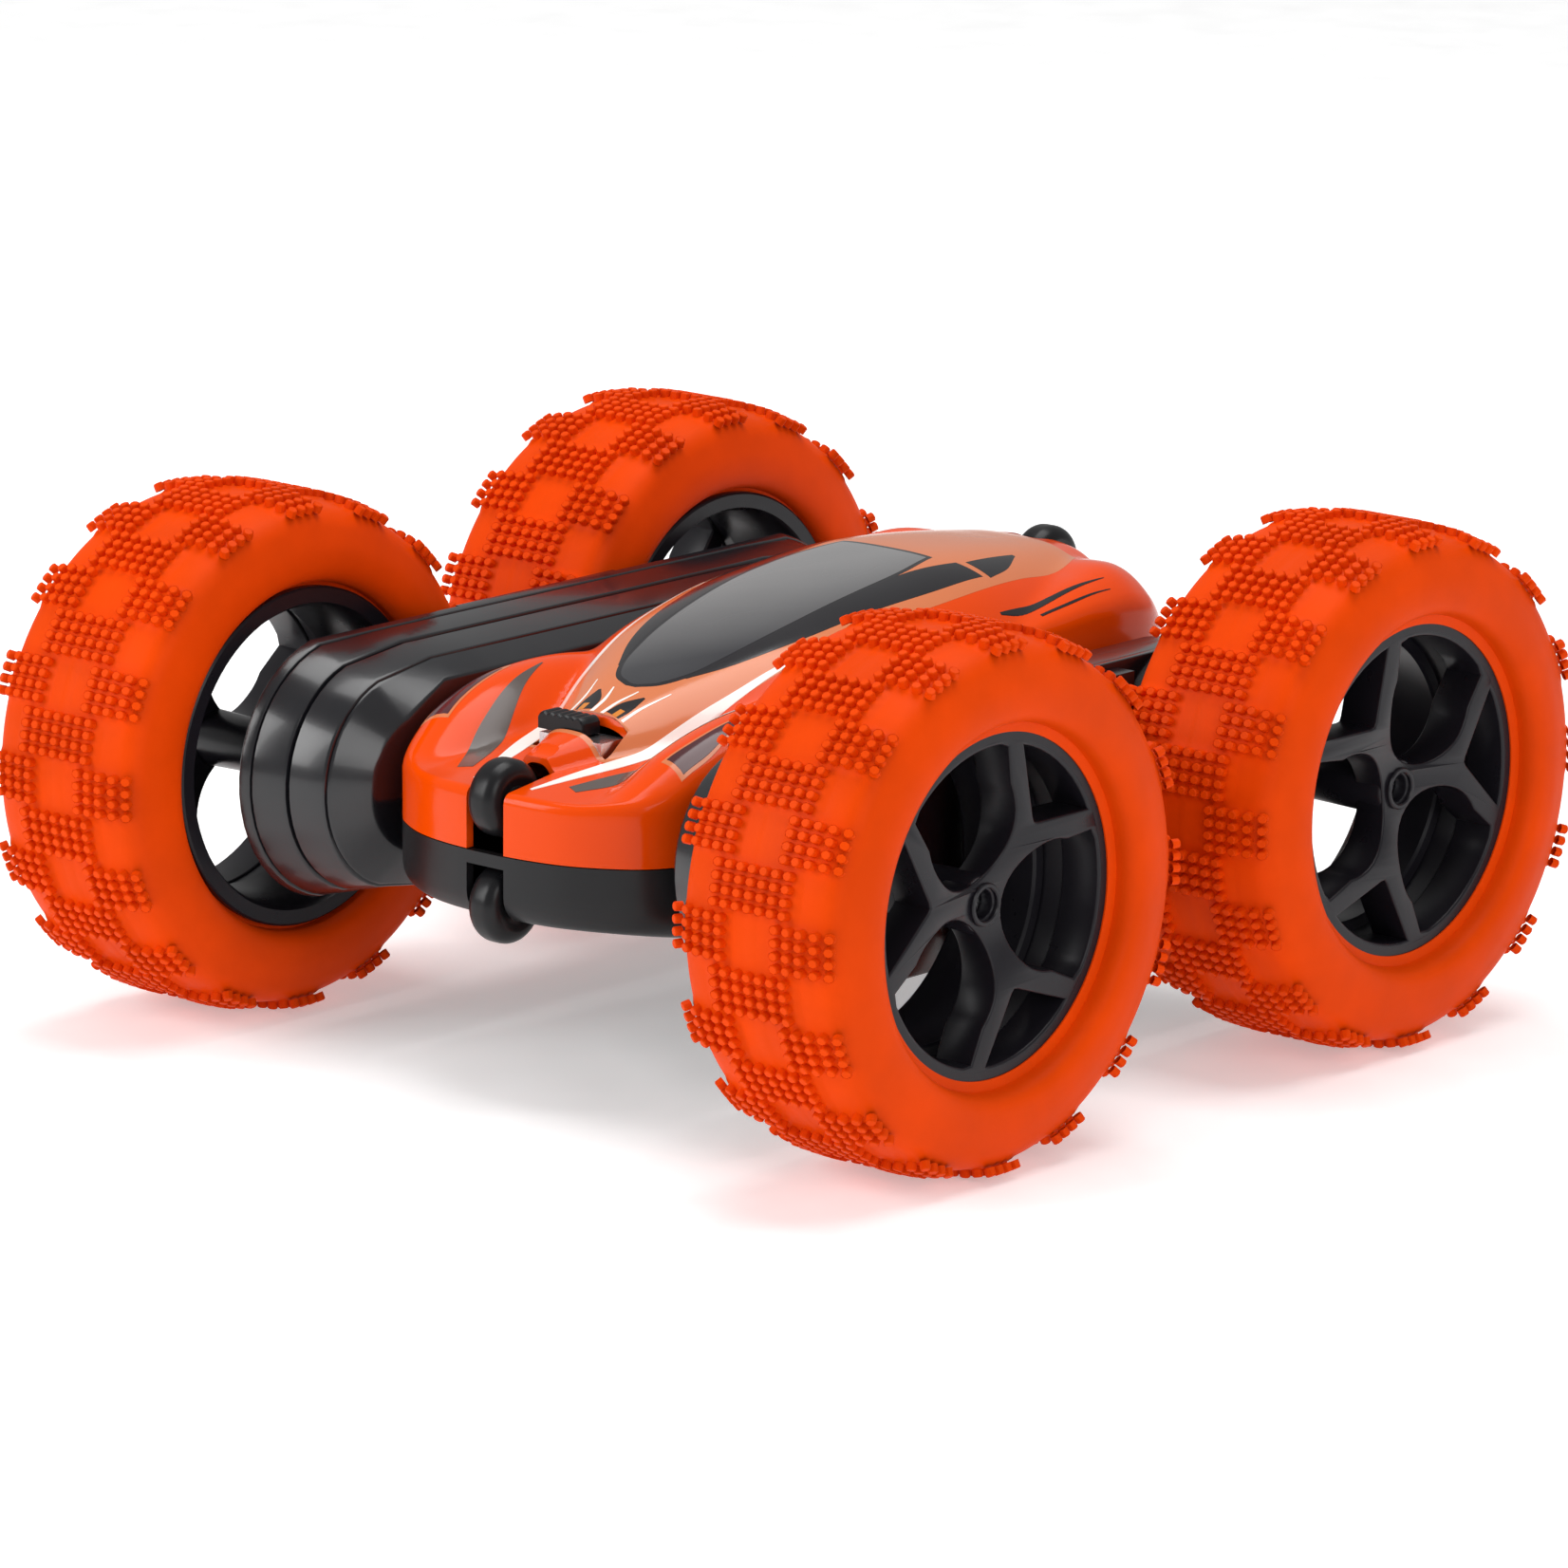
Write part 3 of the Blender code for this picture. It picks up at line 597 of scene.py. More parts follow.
def flat_curve(outlines, depth, bevel):
    """Filled curve with holes, extruded and edge-rounded, as millimetre points and faces."""
    curve = bpy.data.curves.new("plate", "CURVE")
    curve.dimensions = "2D"
    curve.fill_mode = "BOTH"
    curve.extrude, curve.bevel_depth, curve.bevel_resolution = depth / 2 - bevel, bevel, 2
    for outline in outlines:
        spline = curve.splines.new("POLY")
        spline.points.add(len(outline) - 1)
        for point, (a, b) in zip(spline.points, outline):
            point.co = (a, b, 0, 1)
        spline.use_cyclic_u = True
    holder = bpy.data.objects.new("plate", curve)
    scene.collection.objects.link(holder)
    bpy.context.view_layer.update()
    mesh = bpy.data.meshes.new_from_object(holder.evaluated_get(bpy.context.evaluated_depsgraph_get()))
    verts = [tuple(v.co) for v in mesh.vertices]
    faces = [tuple(p.vertices) for p in mesh.polygons]
    bpy.data.objects.remove(holder)
    return verts, faces


def turned_outline(outline, angle):
    c, s = math.cos(angle), math.sin(angle)
    return [(a * c - b * s, a * s + b * c) for a, b in outline]


def rim_shape(side_sign, centre, phase):
    """Spoked plate, barrel and hub of one wheel, as one mesh."""
    holes = []
    for i in range(SPOKES):
        turn_by = phase + 2 * math.pi * i / SPOKES
        holes.append(turned_outline(window_outline(), turn_by + math.pi / SPOKES))
        holes.append(turned_outline(fork_outline(), turn_by))
    verts, faces = flat_curve([circle(22.0, 96), *holes, circle(2.2, 24)], PLATE_DEPTH, 0.35)
    top = FACE_U
    plate = []
    for y, z, u in verts:
        r = math.hypot(y, z)
        sink = 1.7 * float(1 - step(2.0, 13.0, r)) if u > 0 else 0.0
        reach = side_sign * (top - PLATE_DEPTH / 2 + u - sink)
        plate.append((centre[0] + reach, centre[1] + y, centre[2] + z))

    def outward(profile):
        return turned([(side_sign * u, r) for u, r in profile], centre, 96)

    barrel = outward([(top + 0.02, 21.5), (top + 0.02, RIM_R - 0.25), (top - 0.25, RIM_R), (9.3, RIM_R),
                      (9.1, 22.1), (-10.9, 22.1), (-11.1, RIM_R), (-12.1, RIM_R), (-12.36, RIM_R - 0.3),
                      (-12.36, 21.2), (-11.6, 20.7), (-7.0, 20.3), (0.6, 19.8), (1.0, 20.1), (1.2, 21.2),
                      (9.6, BARREL_R)])
    hub = outward([(-8.0, 2.0), (-8.0, 3.6), (top - 2.3, 4.0), (top - 1.9, 3.7), (top - 1.9, 2.9),
                   (top - 1.25, 2.85), (top - 1.1, 2.7), (top - 1.1, 2.3), (top - 1.25, 2.15), (4.5, 2.15),
                   (4.5, 2.0)])
    return join((plate, faces), barrel, hub)


for side, s in SIDES.items():
    for end in ENDS:
        label = f"{side}_{end}"
        shape = rim_shape(s, middle(label + "_tyre"), math.radians(SPOKE_PHASE[label]))
        rim = mesh_piece(label + "_forked_rim", shape, rim_black, 40)
        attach(rim, label + "_wheel")
        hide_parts(label + "_rim")
print("rim faces", len(rim.data.polygons))

# %% [markdown]
# ## The arms
#
# Each arm is a black dog-bone: a round drum at each axle and a straight beam between them. Its
# skin steps in towards the body, with a fine groove at each step, and a plain block over the
# motor stands out of its outer face. Cross-sections at each step are skinned in order.
# %% Stepped arm housings
ARM_IN = abs(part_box("right_arm_inner_housing")[0].x) / MM
ARM_OUT = 44.0
BLOCK_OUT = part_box("right_arm_outer_housing")[1].x / MM
INNER_BANDS = ((ARM_IN, 31.2, 9.6, 13.6, 14.9, 15.7), (31.2, 36.8, 15.0, 15.8, 16.3, 16.8))
OUTER_BANDS = ((37.1, 42.2, 16.4, 17.0, 17.9, 17.6), (42.2, ARM_OUT, 18.0, 17.7, 18.5, 17.9))
GROOVE = 0.45


def band_steps(bands):
    """Cross-sections (x, drum radius, beam half height) of bands with a fine groove between them."""
    rounding = ((0, GROOVE), (0.12, 0.12), (0.26, 0.02), (0.45, 0))
    stations = []
    for x0, x1, drum0, beam0, drum1, beam1 in bands:
        shares = [(t / (x1 - x0), sink) for t, sink in rounding]
        shares += [(1 - share, sink) for share, sink in shares[::-1]]
        for share, sink in shares:
            drum = drum0 + (drum1 - drum0) * share - sink
            beam = beam0 + (beam1 - beam0) * share - sink
            stations.append((x0 + (x1 - x0) * share, drum, beam))
    return [here for i, here in enumerate(stations) if i == 0 or here[0] > stations[i - 1][0] + 0.01]


def dog_bone(x, drum, beam, count=22):
    """Closed outline of the arm at this x: two drum arcs and the straight beam."""
    reach = math.asin(min(beam / drum, 0.97)) if beam < drum else 1.25
    turns = np.linspace(-reach, reach, count)
    span = np.linspace(1, -1, 9) * (HALF_BASE - drum * math.cos(reach) - 1.0)
    loop = [(x, HALF_BASE + drum * math.cos(a), AXLE_Z + drum * math.sin(a)) for a in turns]
    loop += [(x, y, AXLE_Z + beam) for y in span]
    loop += [(x, -HALF_BASE - drum * math.cos(a), AXLE_Z - drum * math.sin(a)) for a in turns]
    loop += [(x, -y, AXLE_Z - beam) for y in span]
    return loop


def box_shape(low, high):
    (x0, y0, z0), (x1, y1, z1) = low, high
    return skin([[(x, y0, z0), (x, y1, z0), (x, y1, z1), (x, y0, z1)] for x in (x0, x1)], caps=True)


def arm_cup(stations, wall=1.2):
    """Outer skin from the closed end to the rim, back along the inside."""
    outer = [dog_bone(*station) for station in stations]
    x, drum, beam = stations[0]
    sign = 1 if stations[-1][0] > x else -1
    inside = (stations[-1], stations[len(stations) // 2], (x + sign * wall, drum, beam))
    inner = [dog_bone(x, drum - wall, beam - wall) for x, drum, beam in inside]
    return skin(outer + inner, caps=True)


def flipped(shape, side_sign):
    verts, faces = shape
    return [(side_sign * x, y, z) for x, y, z in verts], faces


def drill(x0, x1, radius, y, count):
    """Round cutter along X at axle height."""
    return turned([(x0, radius), (x1, radius), (x1, 0.001), (x0, 0.001)], (0, y, AXLE_Z), count)


for side, s in SIDES.items():
    inner_shape, outer_shape = arm_cup(band_steps(INNER_BANDS)), arm_cup(band_steps(OUTER_BANDS)[::-1])
    inner = mesh_piece(side + "_arm_inner_cover", flipped(inner_shape, s), arm_black)
    cut(inner, [drill(s * 20, s * 29.5, 4.2, 0, 48)])
    outer = mesh_piece(side + "_arm_outer_cover", flipped(outer_shape, s), arm_black)
    block = flipped(box_shape((42.0, -16.0, AXLE_Z - 17.0), (BLOCK_OUT, 16.0, AXLE_Z + 17.0)), s)
    cut(outer, [block], "UNION")
    cut(outer, [drill(s * 36, s * 50, 1.9, y, 32) for y in (-HALF_BASE, HALF_BASE)])
    for piece, node in ((inner, "inner"), (outer, "outer")):
        smooth(piece, 25)
        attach(piece, side + "_arm")
        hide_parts(f"{side}_arm_{node}_housing")
    print(side, "arm faces", len(inner.data.polygons), len(outer.data.polygons))

# %% [markdown]
# ## The body
#
# The upper shell is drawn the way a stylist draws a small car: an outline in plan, and heights
# across the car at a dozen stations from nose to tail. A smooth surface through those heights
# is laid over rings that shrink from the outline to the middle line, its edge is rounded, and
# a wall drops from it to the seam.
# %% The body's surface
SEAM_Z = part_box("top_shell")[0].z / MM
WALL = 1.3
PLAN = ((0.0, -60.5), (2.5, -60.5), (4.6, -60.4), (8.5, -59.9), (12.6, -58.9), (17.4, -56.6),
        (21.6, -53.4), (24.0, -49.6), (25.2, -45.4), (25.6, -40.0), (25.2, -30.0), (24.0, -15.0),
        (23.2, 0.0), (23.9, 15.0), (25.2, 30.0), (25.4, 40.0), (24.2, 48.2), (21.2, 53.8), (16.6, 58.3),
        (11.0, 61.1), (5.0, 62.1), (0.0, 62.2))
CREST = ((-61, 42.3), (-55, 44.2), (-50, 45.8), (-45, 47.2), (-40, 48.8), (-34.6, 50.7), (-30, 52.4),
         (-25, 54.0), (-20, 55.6), (-10, 58.3), (0, 60.4), (10, 61.7), (20, 62.4), (30, 62.1), (40, 61.1),
         (48, 59.9), (54, 58.0), (58, 54.0), (61, 48.0), (62.4, 43.8))
CABIN_HALF = ((-52, 3.0), (-44, 6.4), (-36, 10.6), (-28, 15.0), (-18, 19.5), (-6, 20.5), (8, 20.0),
              (20, 19.2), (32, 17.6), (44, 15.4), (54, 12.0), (60, 8.0))
BASE = ((-61, 42.2), (-55, 43.0), (-48, 44.0), (-40, 45.2), (-30, 46.8), (-18, 48.0), (0, 49.0),
        (20, 50.2), (40, 51.8), (50, 50.6), (57, 46.6), (62.4, 42.0))
FRONT_RIDGE = ((-58, 17.0), (-50, 19.5), (-40, 20.6), (-30, 20.4), (-20, 19.4), (-8, 18.4))
FRONT_TOP = ((-61, 41.6), (-54, 42.9), (-50, 45.2), (-46, 47.6), (-42, 49.2), (-36, 50.8), (-30, 51.5),
             (-24, 51.6), (-16, 50.8), (-8, 49.8), (2, 48.0), (14, 44.0))
REAR_RIDGE = ((8, 20.5), (20, 20.3), (30, 19.2), (40, 17.8), (50, 14.6), (58, 11.0), (62.4, 8.0))
REAR_TOP = ((-20, 38.0), (-8, 44.0), (2, 47.8), (10, 50.4), (16, 52.4), (22, 54.6), (30, 56.6),
            (38, 58.2), (46, 58.8), (50, 57.6), (54, 54.0), (57, 50.0), (60, 46.2), (62.4, 43.0))


def along(table, y):
    knots, values = zip(*table)
    return bow(knots, values, y)


def ridge(x, y, line, tops, inner, outer):
    """A rounded fender whose crest follows a line in plan."""
    crest_x = along(line, y)
    width = np.where(x < crest_x, inner, outer)
    return along(tops, y) - 3.0 * np.abs((x - crest_x) / width) ** 2.2


def deck(x, y):
    """Height of the body over its plan: cabin, hood and fenders blended as a soft maximum."""
    x, y = np.abs(np.asarray(x, float)), np.asarray(y, float)
    t = x / along(CABIN_HALF, y)
    shapes = np.stack([along(BASE, y) - 0.003 * x ** 2,
                       along(CREST, y) - 0.7 * t ** 2 - 4.4 * t ** 3.6,
                       ridge(x, y, FRONT_RIDGE, FRONT_TOP, 6.5, 5.0),
                       ridge(x, y, REAR_RIDGE, REAR_TOP, 11.0, 7.0)])
    top = shapes.max(axis=0)
    return top + 0.45 * np.log(np.exp((shapes - top) / 0.45).sum(axis=0))


UNDER = ((-60.5, 25.2), (-54.6, 24.2), (-48.6, 23.0), (-40, 21.6), (-28, 20.4), (-12, 19.8), (20, 19.6),
         (46, 18.9), (54, 18.9), (59.5, 21.0), (62.2, 25.0))


def underside(x, y):
    """Height of the lower shell: nearly flat, kicked up at the nose and the tail."""
    return along(UNDER, y) + 0.0022 * np.asarray(x, float) ** 2


def plan_outline(count=150):
    """Closed plan outline, nose to tail on the right and back on the left."""
    half = through(PLAN, count)
    return np.concatenate([half, (half * (-1, 1))[-2:0:-1]])


def spine(points):
    """The point of the middle line that each outline point shrinks towards."""
    return np.stack([np.zeros(len(points)), np.clip(points[:, 1], -50.0, 52.0)], axis=1)


def bowl_rings(height_of, edge_r, wall_to, inset, rings, count):
    """Rings of a dome over the plan: middle line, rounded edge, then a wall to the seam."""
    outline = plan_outline(count)
    heading = np.roll(outline, -1, axis=0) - np.roll(outline, 1, axis=0)
    outward = np.column_stack([heading[:, 1], -heading[:, 0]]) / np.linalg.norm(heading, axis=1)[:, None]
    outline = outline - outward * inset
    core = spine(outline)
    reach = np.linalg.norm(outline - core, axis=1)
    sign = 1 if height_of is deck else -1
    skins = []
    for share in np.r_[np.linspace(0, 0.84, rings - 14), np.linspace(0.86, 1.0, 14)]:
        xy = core + (outline - core) * share
        to_edge = np.minimum(reach * (1 - share), edge_r)
        drop = edge_r - np.sqrt(np.maximum(edge_r ** 2 - (edge_r - to_edge) ** 2, 0))
        z = height_of(xy[:, 0], xy[:, 1]) - sign * (drop + inset)
        skins.append([tuple(p) for p in np.column_stack([xy, z])])
    edge_z = np.array(skins[-1])[:, 2]
    for t in (0.25, 0.5, 0.75, 1.0):
        skins.append([tuple(p) for p in np.column_stack([outline, edge_z + (wall_to - edge_z) * t])])
    return skins


def bowl(height_of, edge_r, wall_to, rings, count):
    """Shell with a wall thickness: the outer rings down to the seam, and the inner ones back."""
    outer = bowl_rings(height_of, edge_r, wall_to, 0.0, rings, count)
    inner = bowl_rings(height_of, max(edge_r - WALL, 0.3), wall_to, WALL, rings // 2 + 8, count)
    return skin(outer + inner[::-1])


KNOB_LOW, KNOB_HIGH = (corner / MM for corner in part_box("switch_knob"))
KNOB_TRAVEL = 3.6
SLOT_HALF_W = 3.3


def pocket(low, grow, z0, z1):
    """Cutter that widens upwards round the knob's slot."""
    rings = []
    for z, more in ((z0, low), (z1, low + grow)):
        x0, x1 = KNOB_LOW.x - more, KNOB_HIGH.x + KNOB_TRAVEL + more
        y0, y1 = KNOB_LOW.y - more, KNOB_HIGH.y + more
        rings.append([(x0, y0, z), (x1, y0, z), (x1, y1, z), (x0, y1, z)])
    return skin(rings, caps=True)


def slot(y0, y1, z0, z1):
    return box_shape((-SLOT_HALF_W, y0, z0), (SLOT_HALF_W, y1, z1))


knob_cuts = [pocket(0.4, 0.0, 40, 52), pocket(0.1, 1.5, 46.9, 51.3)]
dimple_profile = [(-2.6, 2.2), (-1.6, 3.0), (1.6, 3.0), (2.6, 2.2), (2.6, 0.001), (-2.6, 0.001)]
dimple = turned(dimple_profile, (0, -50.2, 48.1), 40)
NOSE_SLOT_Y = (-64, -50.5)
TAIL_SLOT_Y = (47.6, 60.4)
top_shell = mesh_piece("body_upper_shell", bowl(deck, 1.3, SEAM_Z, 60, 190), shell_orange, 40)
pivot_hole = drill(-40, 40, 4.3, 0, 48)
cut(top_shell, [slot(*NOSE_SLOT_Y, 28, 52), slot(*TAIL_SLOT_Y, 48.6, 66), *knob_cuts, dimple, pivot_hole])
smooth(top_shell, 32)
bottom_shell = mesh_piece("body_lower_shell", bowl(underside, 3.2, SEAM_Z - 0.15, 40, 150), chassis_black, 40)
door_low, door_high = (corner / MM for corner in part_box("battery_door"))
door_hole = box_shape((door_low.x - 0.3, door_low.y - 0.3, 12), (door_high.x + 0.3, door_high.y + 0.3, 24))
cut(bottom_shell, [slot(*NOSE_SLOT_Y, 12, SEAM_Z - 1.9), slot(*TAIL_SLOT_Y, 12, 27.5), door_hole, pivot_hole])
smooth(bottom_shell, 32)
for piece, node, look in ((top_shell, "top_shell", "orange_shell_plastic"),
                          (bottom_shell, "bottom_shell", "black_chassis_plastic")):
    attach(piece, "car_body")
    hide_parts(node)
    print(piece.name, len(piece.data.polygons), "faces")

# %% [markdown]
# ## The printed labels
#
# On the real toy the windows, stripes and lights are printed foil labels, not parts. Each one
# here is a thin strip laid over the shell between two edge lines, a few hundredths of a
# millimetre proud, closed below so that it is a real sheet.
# %% Label inks and the draping function
label_salmon = moulded("label_salmon", (0.60, 0.175, 0.065), 0.17, coat=0.15, grain_mm=0.002, vary=0.04)
label_white = moulded("label_white", (0.86, 0.84, 0.80), 0.18, coat=0.15, grain_mm=0.002, vary=0.02)
label_grey = moulded("label_grey", (0.085, 0.066, 0.058), 0.20, coat=0.15, grain_mm=0.002, vary=0.08)
label_black = moulded("label_black", (0.010, 0.009, 0.011), 0.16, coat=0.15, grain_mm=0.002, vary=0.10)
label_amber = moulded("label_amber", (0.62, 0.20, 0.02), 0.20, coat=0.15, grain_mm=0.002, vary=0.05)
label_lamp = moulded("label_lamp", (0.075, 0.018, 0.022), 0.16, coat=0.2, grain_mm=0.002, vary=0.5)


for ink in (label_salmon, label_white, label_grey, label_black, label_amber, label_lamp):
    ink.set("Specular IOR Level", 0.28)


def glass_print_with_painted_sheen():
    """Windscreen print, near black, with a painted sheen: grey painted higher up and towards the car's left
    side, where the lamps light the glossy dome.
    """
    paint = Paint("glass_label_painted_sheen", (0.02, 0.02, 0.024), 0.14, coat=0.6)
    x, y, z = paint.axes()
    # Painted sheen: the print turns grey higher up the dome and towards the car's left side, where the lamps
    # fall on it.
    rise = (z * 1000.0 - x * 260.0 - 53.5) / 8.5
    painted_sheen_share = (rise + (paint.noise(70.0, 2.0) - 0.5) * 0.2).spread(0.0, 1.0)
    paint.set("Base Color", paint.mix(painted_sheen_share, (0.012, 0.012, 0.016, 1), (0.17, 0.165, 0.165, 1)))
    paint.set("Roughness", 0.12 + paint.noise(300.0, 3.0) * 0.07)
    paint.bump(paint.noise(900.0, 2.0), 0.002, 0.5)
    return paint


glass_label_painted_sheen = glass_print_with_painted_sheen()


def drape(name, first, second, paint, lift, across=6, count=60, cuts=()):
    """Sheet on the body between two plan curves, lifted off it by a hair."""
    one, two = through(first, count), through(second, count)
    rings = []
    for a, b in zip(one, two):
        xy = a + (b - a) * np.linspace(0, 1, across + 1)[:, None]
        z = deck(xy[:, 0], xy[:, 1])
        upper = np.column_stack([xy, z + lift])
        lower = np.column_stack([xy, z - 0.12])[::-1]
        rings.append([tuple(p) for p in np.concatenate([upper, lower])])
    sheet = mesh_piece(name, skin(rings, caps=True), paint, 50)
    cut(sheet, cuts)
    smooth(sheet, 50)
    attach(sheet, "car_body")
    return sheet


def stripe(name, line, widths, paint, lift):
    """Tapered stripe of the given widths along a plan line, on both sides of the car."""
    line, widths = np.array(line, float), np.array(widths, float)
    tangent = np.gradient(line, axis=0)
    normal = np.column_stack([-tangent[:, 1], tangent[:, 0]]) / np.linalg.norm(tangent, axis=1)[:, None]
    half_width = normal * widths[:, None] / 2
    for side, s in SIDES.items():
        first, second = (line + half_width) * (s, 1), (line - half_width) * (s, 1)
        drape(f"{side}_{name}", first, second, paint, lift, 4)


def mirror_x(line):
    return [(-x, y) for x, y in line]


# %% [markdown]
# The foil's salmon ground covers hood, cabin sides and roof. White and grey flashes fan out
# from the nose roller, and the glass is one long teardrop with a darker pane down each side.
# %% Ground, glass and flashes
GROUND = [(6.8, -44.6), (7.6, -43.2), (8.8, -41), (10.8, -35), (13.0, -28), (15.2, -18), (16.8, -6),
          (17.4, 6), (17.2, 18), (15.8, 30), (14.0, 42), (11.6, 46.8)]
drape("salmon_ground", mirror_x(GROUND), GROUND, label_salmon, 0.03, 40, 120, knob_cuts)
SCREEN = [(0.6, -31.6), (3.2, -30.4), (5.4, -27.4), (7.2, -21.6), (8.5, -14), (9.3, -5), (9.5, 4),
          (9.0, 12), (7.6, 19.4)]
RIM_LINE = [(0.9, -32.2), (3.7, -30.9), (6.0, -27.8), (7.8, -21.8), (9.1, -14), (9.9, -5), (10.1, 4),
            (9.6, 12.4), (8.0, 20.2)]
drape("windscreen_border", mirror_x(RIM_LINE), RIM_LINE, label_black, 0.05, 24, 80)
drape("windscreen", mirror_x(SCREEN), SCREEN, glass_label_painted_sheen, 0.075, 24, 80)
PANE_OUT = [(6.1, -27.9), (9.4, -22.4), (12.4, -14), (14.0, -5), (14.9, 4), (15.3, 13), (15.0, 22.6)]
PANE_IN = [(5.9, -27.8), (7.7, -22.0), (9.0, -14), (9.8, -5), (10.0, 4), (9.9, 13), (11.0, 21.6)]
QUARTER_OUT = [(15.4, 23.8), (14.0, 29.0), (11.2, 34.0)]
QUARTER_IN = [(11.4, 23.2), (11.1, 28.0), (10.8, 33.8)]
PANES = (("side_pane", PANE_OUT, PANE_IN, 10), ("quarter_pane", QUARTER_OUT, QUARTER_IN, 6))
for side, s in SIDES.items():
    for title, outer_edge, inner_edge, across in PANES:
        first, second = np.array(outer_edge) * (s, 1), np.array(inner_edge) * (s, 1)
        drape(f"{side}_{title}", first, second, label_black, 0.06, across)
# name, ink, lift off the shell, middle line in plan, widths along it
STRIPES = (
    ("white_flash", label_white, 0.07, [(5.0, -57.0), (6.6, -50.4), (8.7, -43.2), (10.6, -36), (12.6, -28),
     (14.4, -19), (15.8, -9), (16.6, 1)], [0.5, 1.8, 2.7, 2.2, 1.3, 0.8, 0.5, 0.12]),
    ("grey_flash", label_grey, 0.06, [(9.6, -54.0), (12.0, -48.6), (14.6, -42), (17.0, -35.6), (18.8, -29)],
     [2.2, 3.4, 2.8, 1.6, 0.15]),
    ("lamp_edge", label_salmon, 0.05, [(21.2, -47.6), (21.9, -43.6), (21.9, -38.6), (21.3, -32.6)],
     [4.4, 4.0, 2.7, 0.5]),
    ("lamp", label_lamp, 0.08, [(21.3, -47.0), (21.9, -43.4), (21.9, -38.8), (21.4, -34.2)],
     [3.5, 3.1, 2.0, 0.3]),
    ("fender_slash", label_black, 0.06, [(20.4, 20.0), (20.5, 26), (20.7, 33), (21.2, 41)],
     [0.3, 1.3, 0.9, 0.1]),
    ("fender_line", label_black, 0.06, [(22.6, 26.0), (23.0, 33), (23.2, 40)], [0.45, 0.4, 0.1]),
    ("cowl_bar", label_black, 0.06, [(2.6, -38.6), (3.0, -36.6), (4.0, -33.8)], [2.6, 2.6, 0.4]),
    ("cowl_amber", label_amber, 0.08, [(3.0, -38.7), (3.2, -37.2)], [0.9, 0.9]),
    ("cowl_line", label_white, 0.08, [(0.9, -38.8), (1.2, -36.0), (2.2, -33.0)], [0.6, 0.5, 0.2]),
    ("cowl_edge", label_white, 0.08, [(4.6, -38.9), (5.0, -36.2), (6.6, -31.4)], [0.45, 0.4, 0.15]))
for title, ink, lift, line, widths in STRIPES:
    stripe(title, line, widths, ink, lift)

# %% [markdown]
# ## Rollers and the switch
#
# Small black rollers let the car scrub round when it rears up on its nose or tail. They are
# turned shapes with a rounded rim, sitting in the slots. The power switch is a ribbed slider.
# %% Rollers and knob
ROLLER_HALF_W = 2.6
ROLLER_EDGE_R = 2.0
KNOB_RIBS = 6
RIB_DEPTH = 0.28
KNOB_DROP = 1.0
KNOB_SIDE_GAP = 0.35


def roller_profile(radius, stub_end):
    """Closed profile of a roller with a rounded rim and its stub axles."""
    core = arc(ROLLER_EDGE_R, 90, 0, 9)
    edge = [(ROLLER_HALF_W - ROLLER_EDGE_R + u, radius - ROLLER_EDGE_R + r) for u, r in core]
    face, hub = ROLLER_HALF_W - 0.35, ROLLER_HALF_W
    half = edge + [(face, radius - 2.6), (face, 1.9), (hub, 1.8), (hub, 1.2), (stub_end, 1.15)]
    return [(stub_end, 0.001), *half[::-1], *((-u, r) for u, r in half), (-stub_end, 0.001)]


for name in ("nose_roller_upper", "nose_roller_lower", "tail_roller_upper", "tail_roller_lower"):
    size = extent(name)
    shape = turned(roller_profile(size.z / 2, size.x / 2), middle(name), 56)
    roller = mesh_piece("rounded_" + name, shape, trim_black, 40)
    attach(roller, name)
    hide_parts(name)


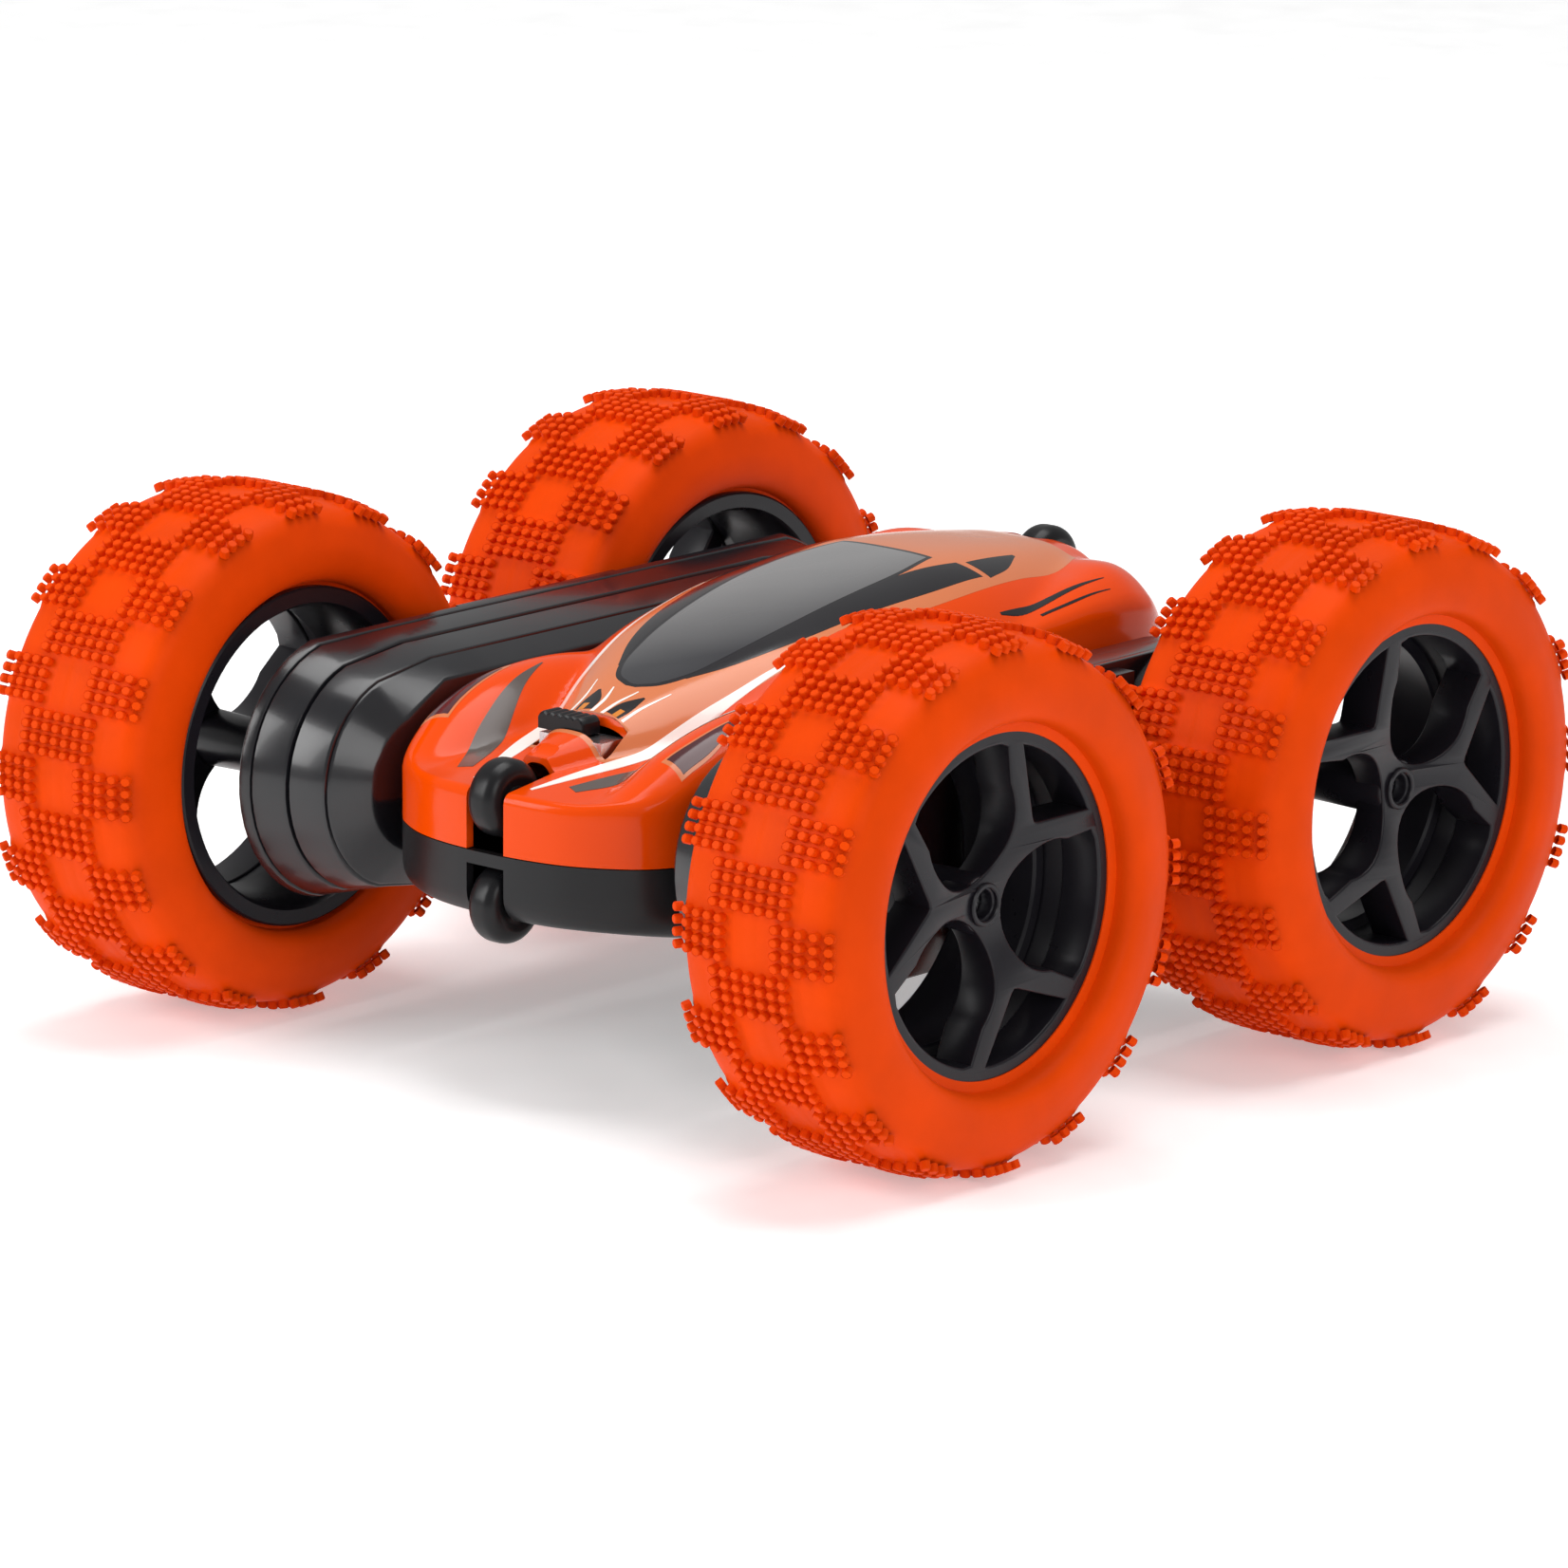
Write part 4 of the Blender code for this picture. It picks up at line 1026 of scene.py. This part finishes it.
def knob_rings():
    """Cross-sections of the slider from front to back, with ribs over its top."""
    x0, x1 = KNOB_LOW.x + KNOB_SIDE_GAP, KNOB_HIGH.x - KNOB_SIDE_GAP
    z0, z1 = KNOB_LOW.z, KNOB_HIGH.z - KNOB_DROP
    rib_x = np.linspace(x0 + 0.35, x1 - 0.35, 73)
    wave = RIB_DEPTH * np.abs(np.sin(np.pi * KNOB_RIBS * (rib_x - rib_x[0]) / (rib_x[-1] - rib_x[0])))
    ribbed = [(x, z1 - 0.32 + w) for x, w in zip(rib_x, wave)]
    outline = [(x0, z0), (x0, z1 - 0.8), *ribbed, (x1, z1 - 0.8), (x1, z0)]
    mid_x, mid_y, half_y = (x0 + x1) / 2, (KNOB_HIGH.y + KNOB_LOW.y) / 2, (KNOB_HIGH.y - KNOB_LOW.y) / 2
    front = [(-half_y, 0.5), (-half_y + 0.15, 0.2), (-half_y + 0.5, 0)]
    rings = []
    for y, shrink in front + [(-y, shrink) for y, shrink in front[::-1]]:
        narrow, drop = 1 - shrink * 0.12, shrink * 0.5
        rings.append([(mid_x + (x - mid_x) * narrow, mid_y + y, z - drop * (z > z0 + 0.1))
                      for x, z in outline])
    return rings


knob = mesh_piece("ribbed_knob", skin(knob_rings(), caps=True), trim_black, 30)
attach(knob, "switch")
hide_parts("switch_knob")
print("rollers and knob done")

# %% [markdown]
# ## Finishes for the pieces that stay as they are
#
# Gears, pins, motors, screws, the cell and the board keep their CAD shape inside the housings.
# %% Dressing the remaining CAD nodes
FINISHES = (("gear", gear_white), ("circuit_board", board_green), ("battery_pack", cell_blue),
            ("roller", trim_black), ("knob", trim_black), ("shell", chassis_black), ("door", chassis_black),
            ("sleeve", chassis_black), ("", bright_steel))
for name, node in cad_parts.items():
    lookup = name.replace("door_screw", "screw")
    finish = next(paint for word, paint in FINISHES if word in lookup)
    node.data.materials.clear()
    node.data.materials.append(finish.material)
print("dressed", len(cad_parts), "nodes")

# %% [markdown]
# ## The floor
#
# The floor is part of the studio, not of the toy, so it is staged.
# %% Floor and closing
FLOOR_HALF = 6000
floor_rows = [[(x, y, -0.05) for x in (-FLOOR_HALF, FLOOR_HALF)] for y in (-FLOOR_HALF, FLOOR_HALF)]
floor_white = moulded("floor_white", (0.86, 0.86, 0.86), 0.6)
floor = mesh_piece("floor", skin(floor_rows, around=False), floor_white)
floor_white.set("Emission Color", (1, 1, 1, 1))
floor_white.set("Emission Strength", 0.34)
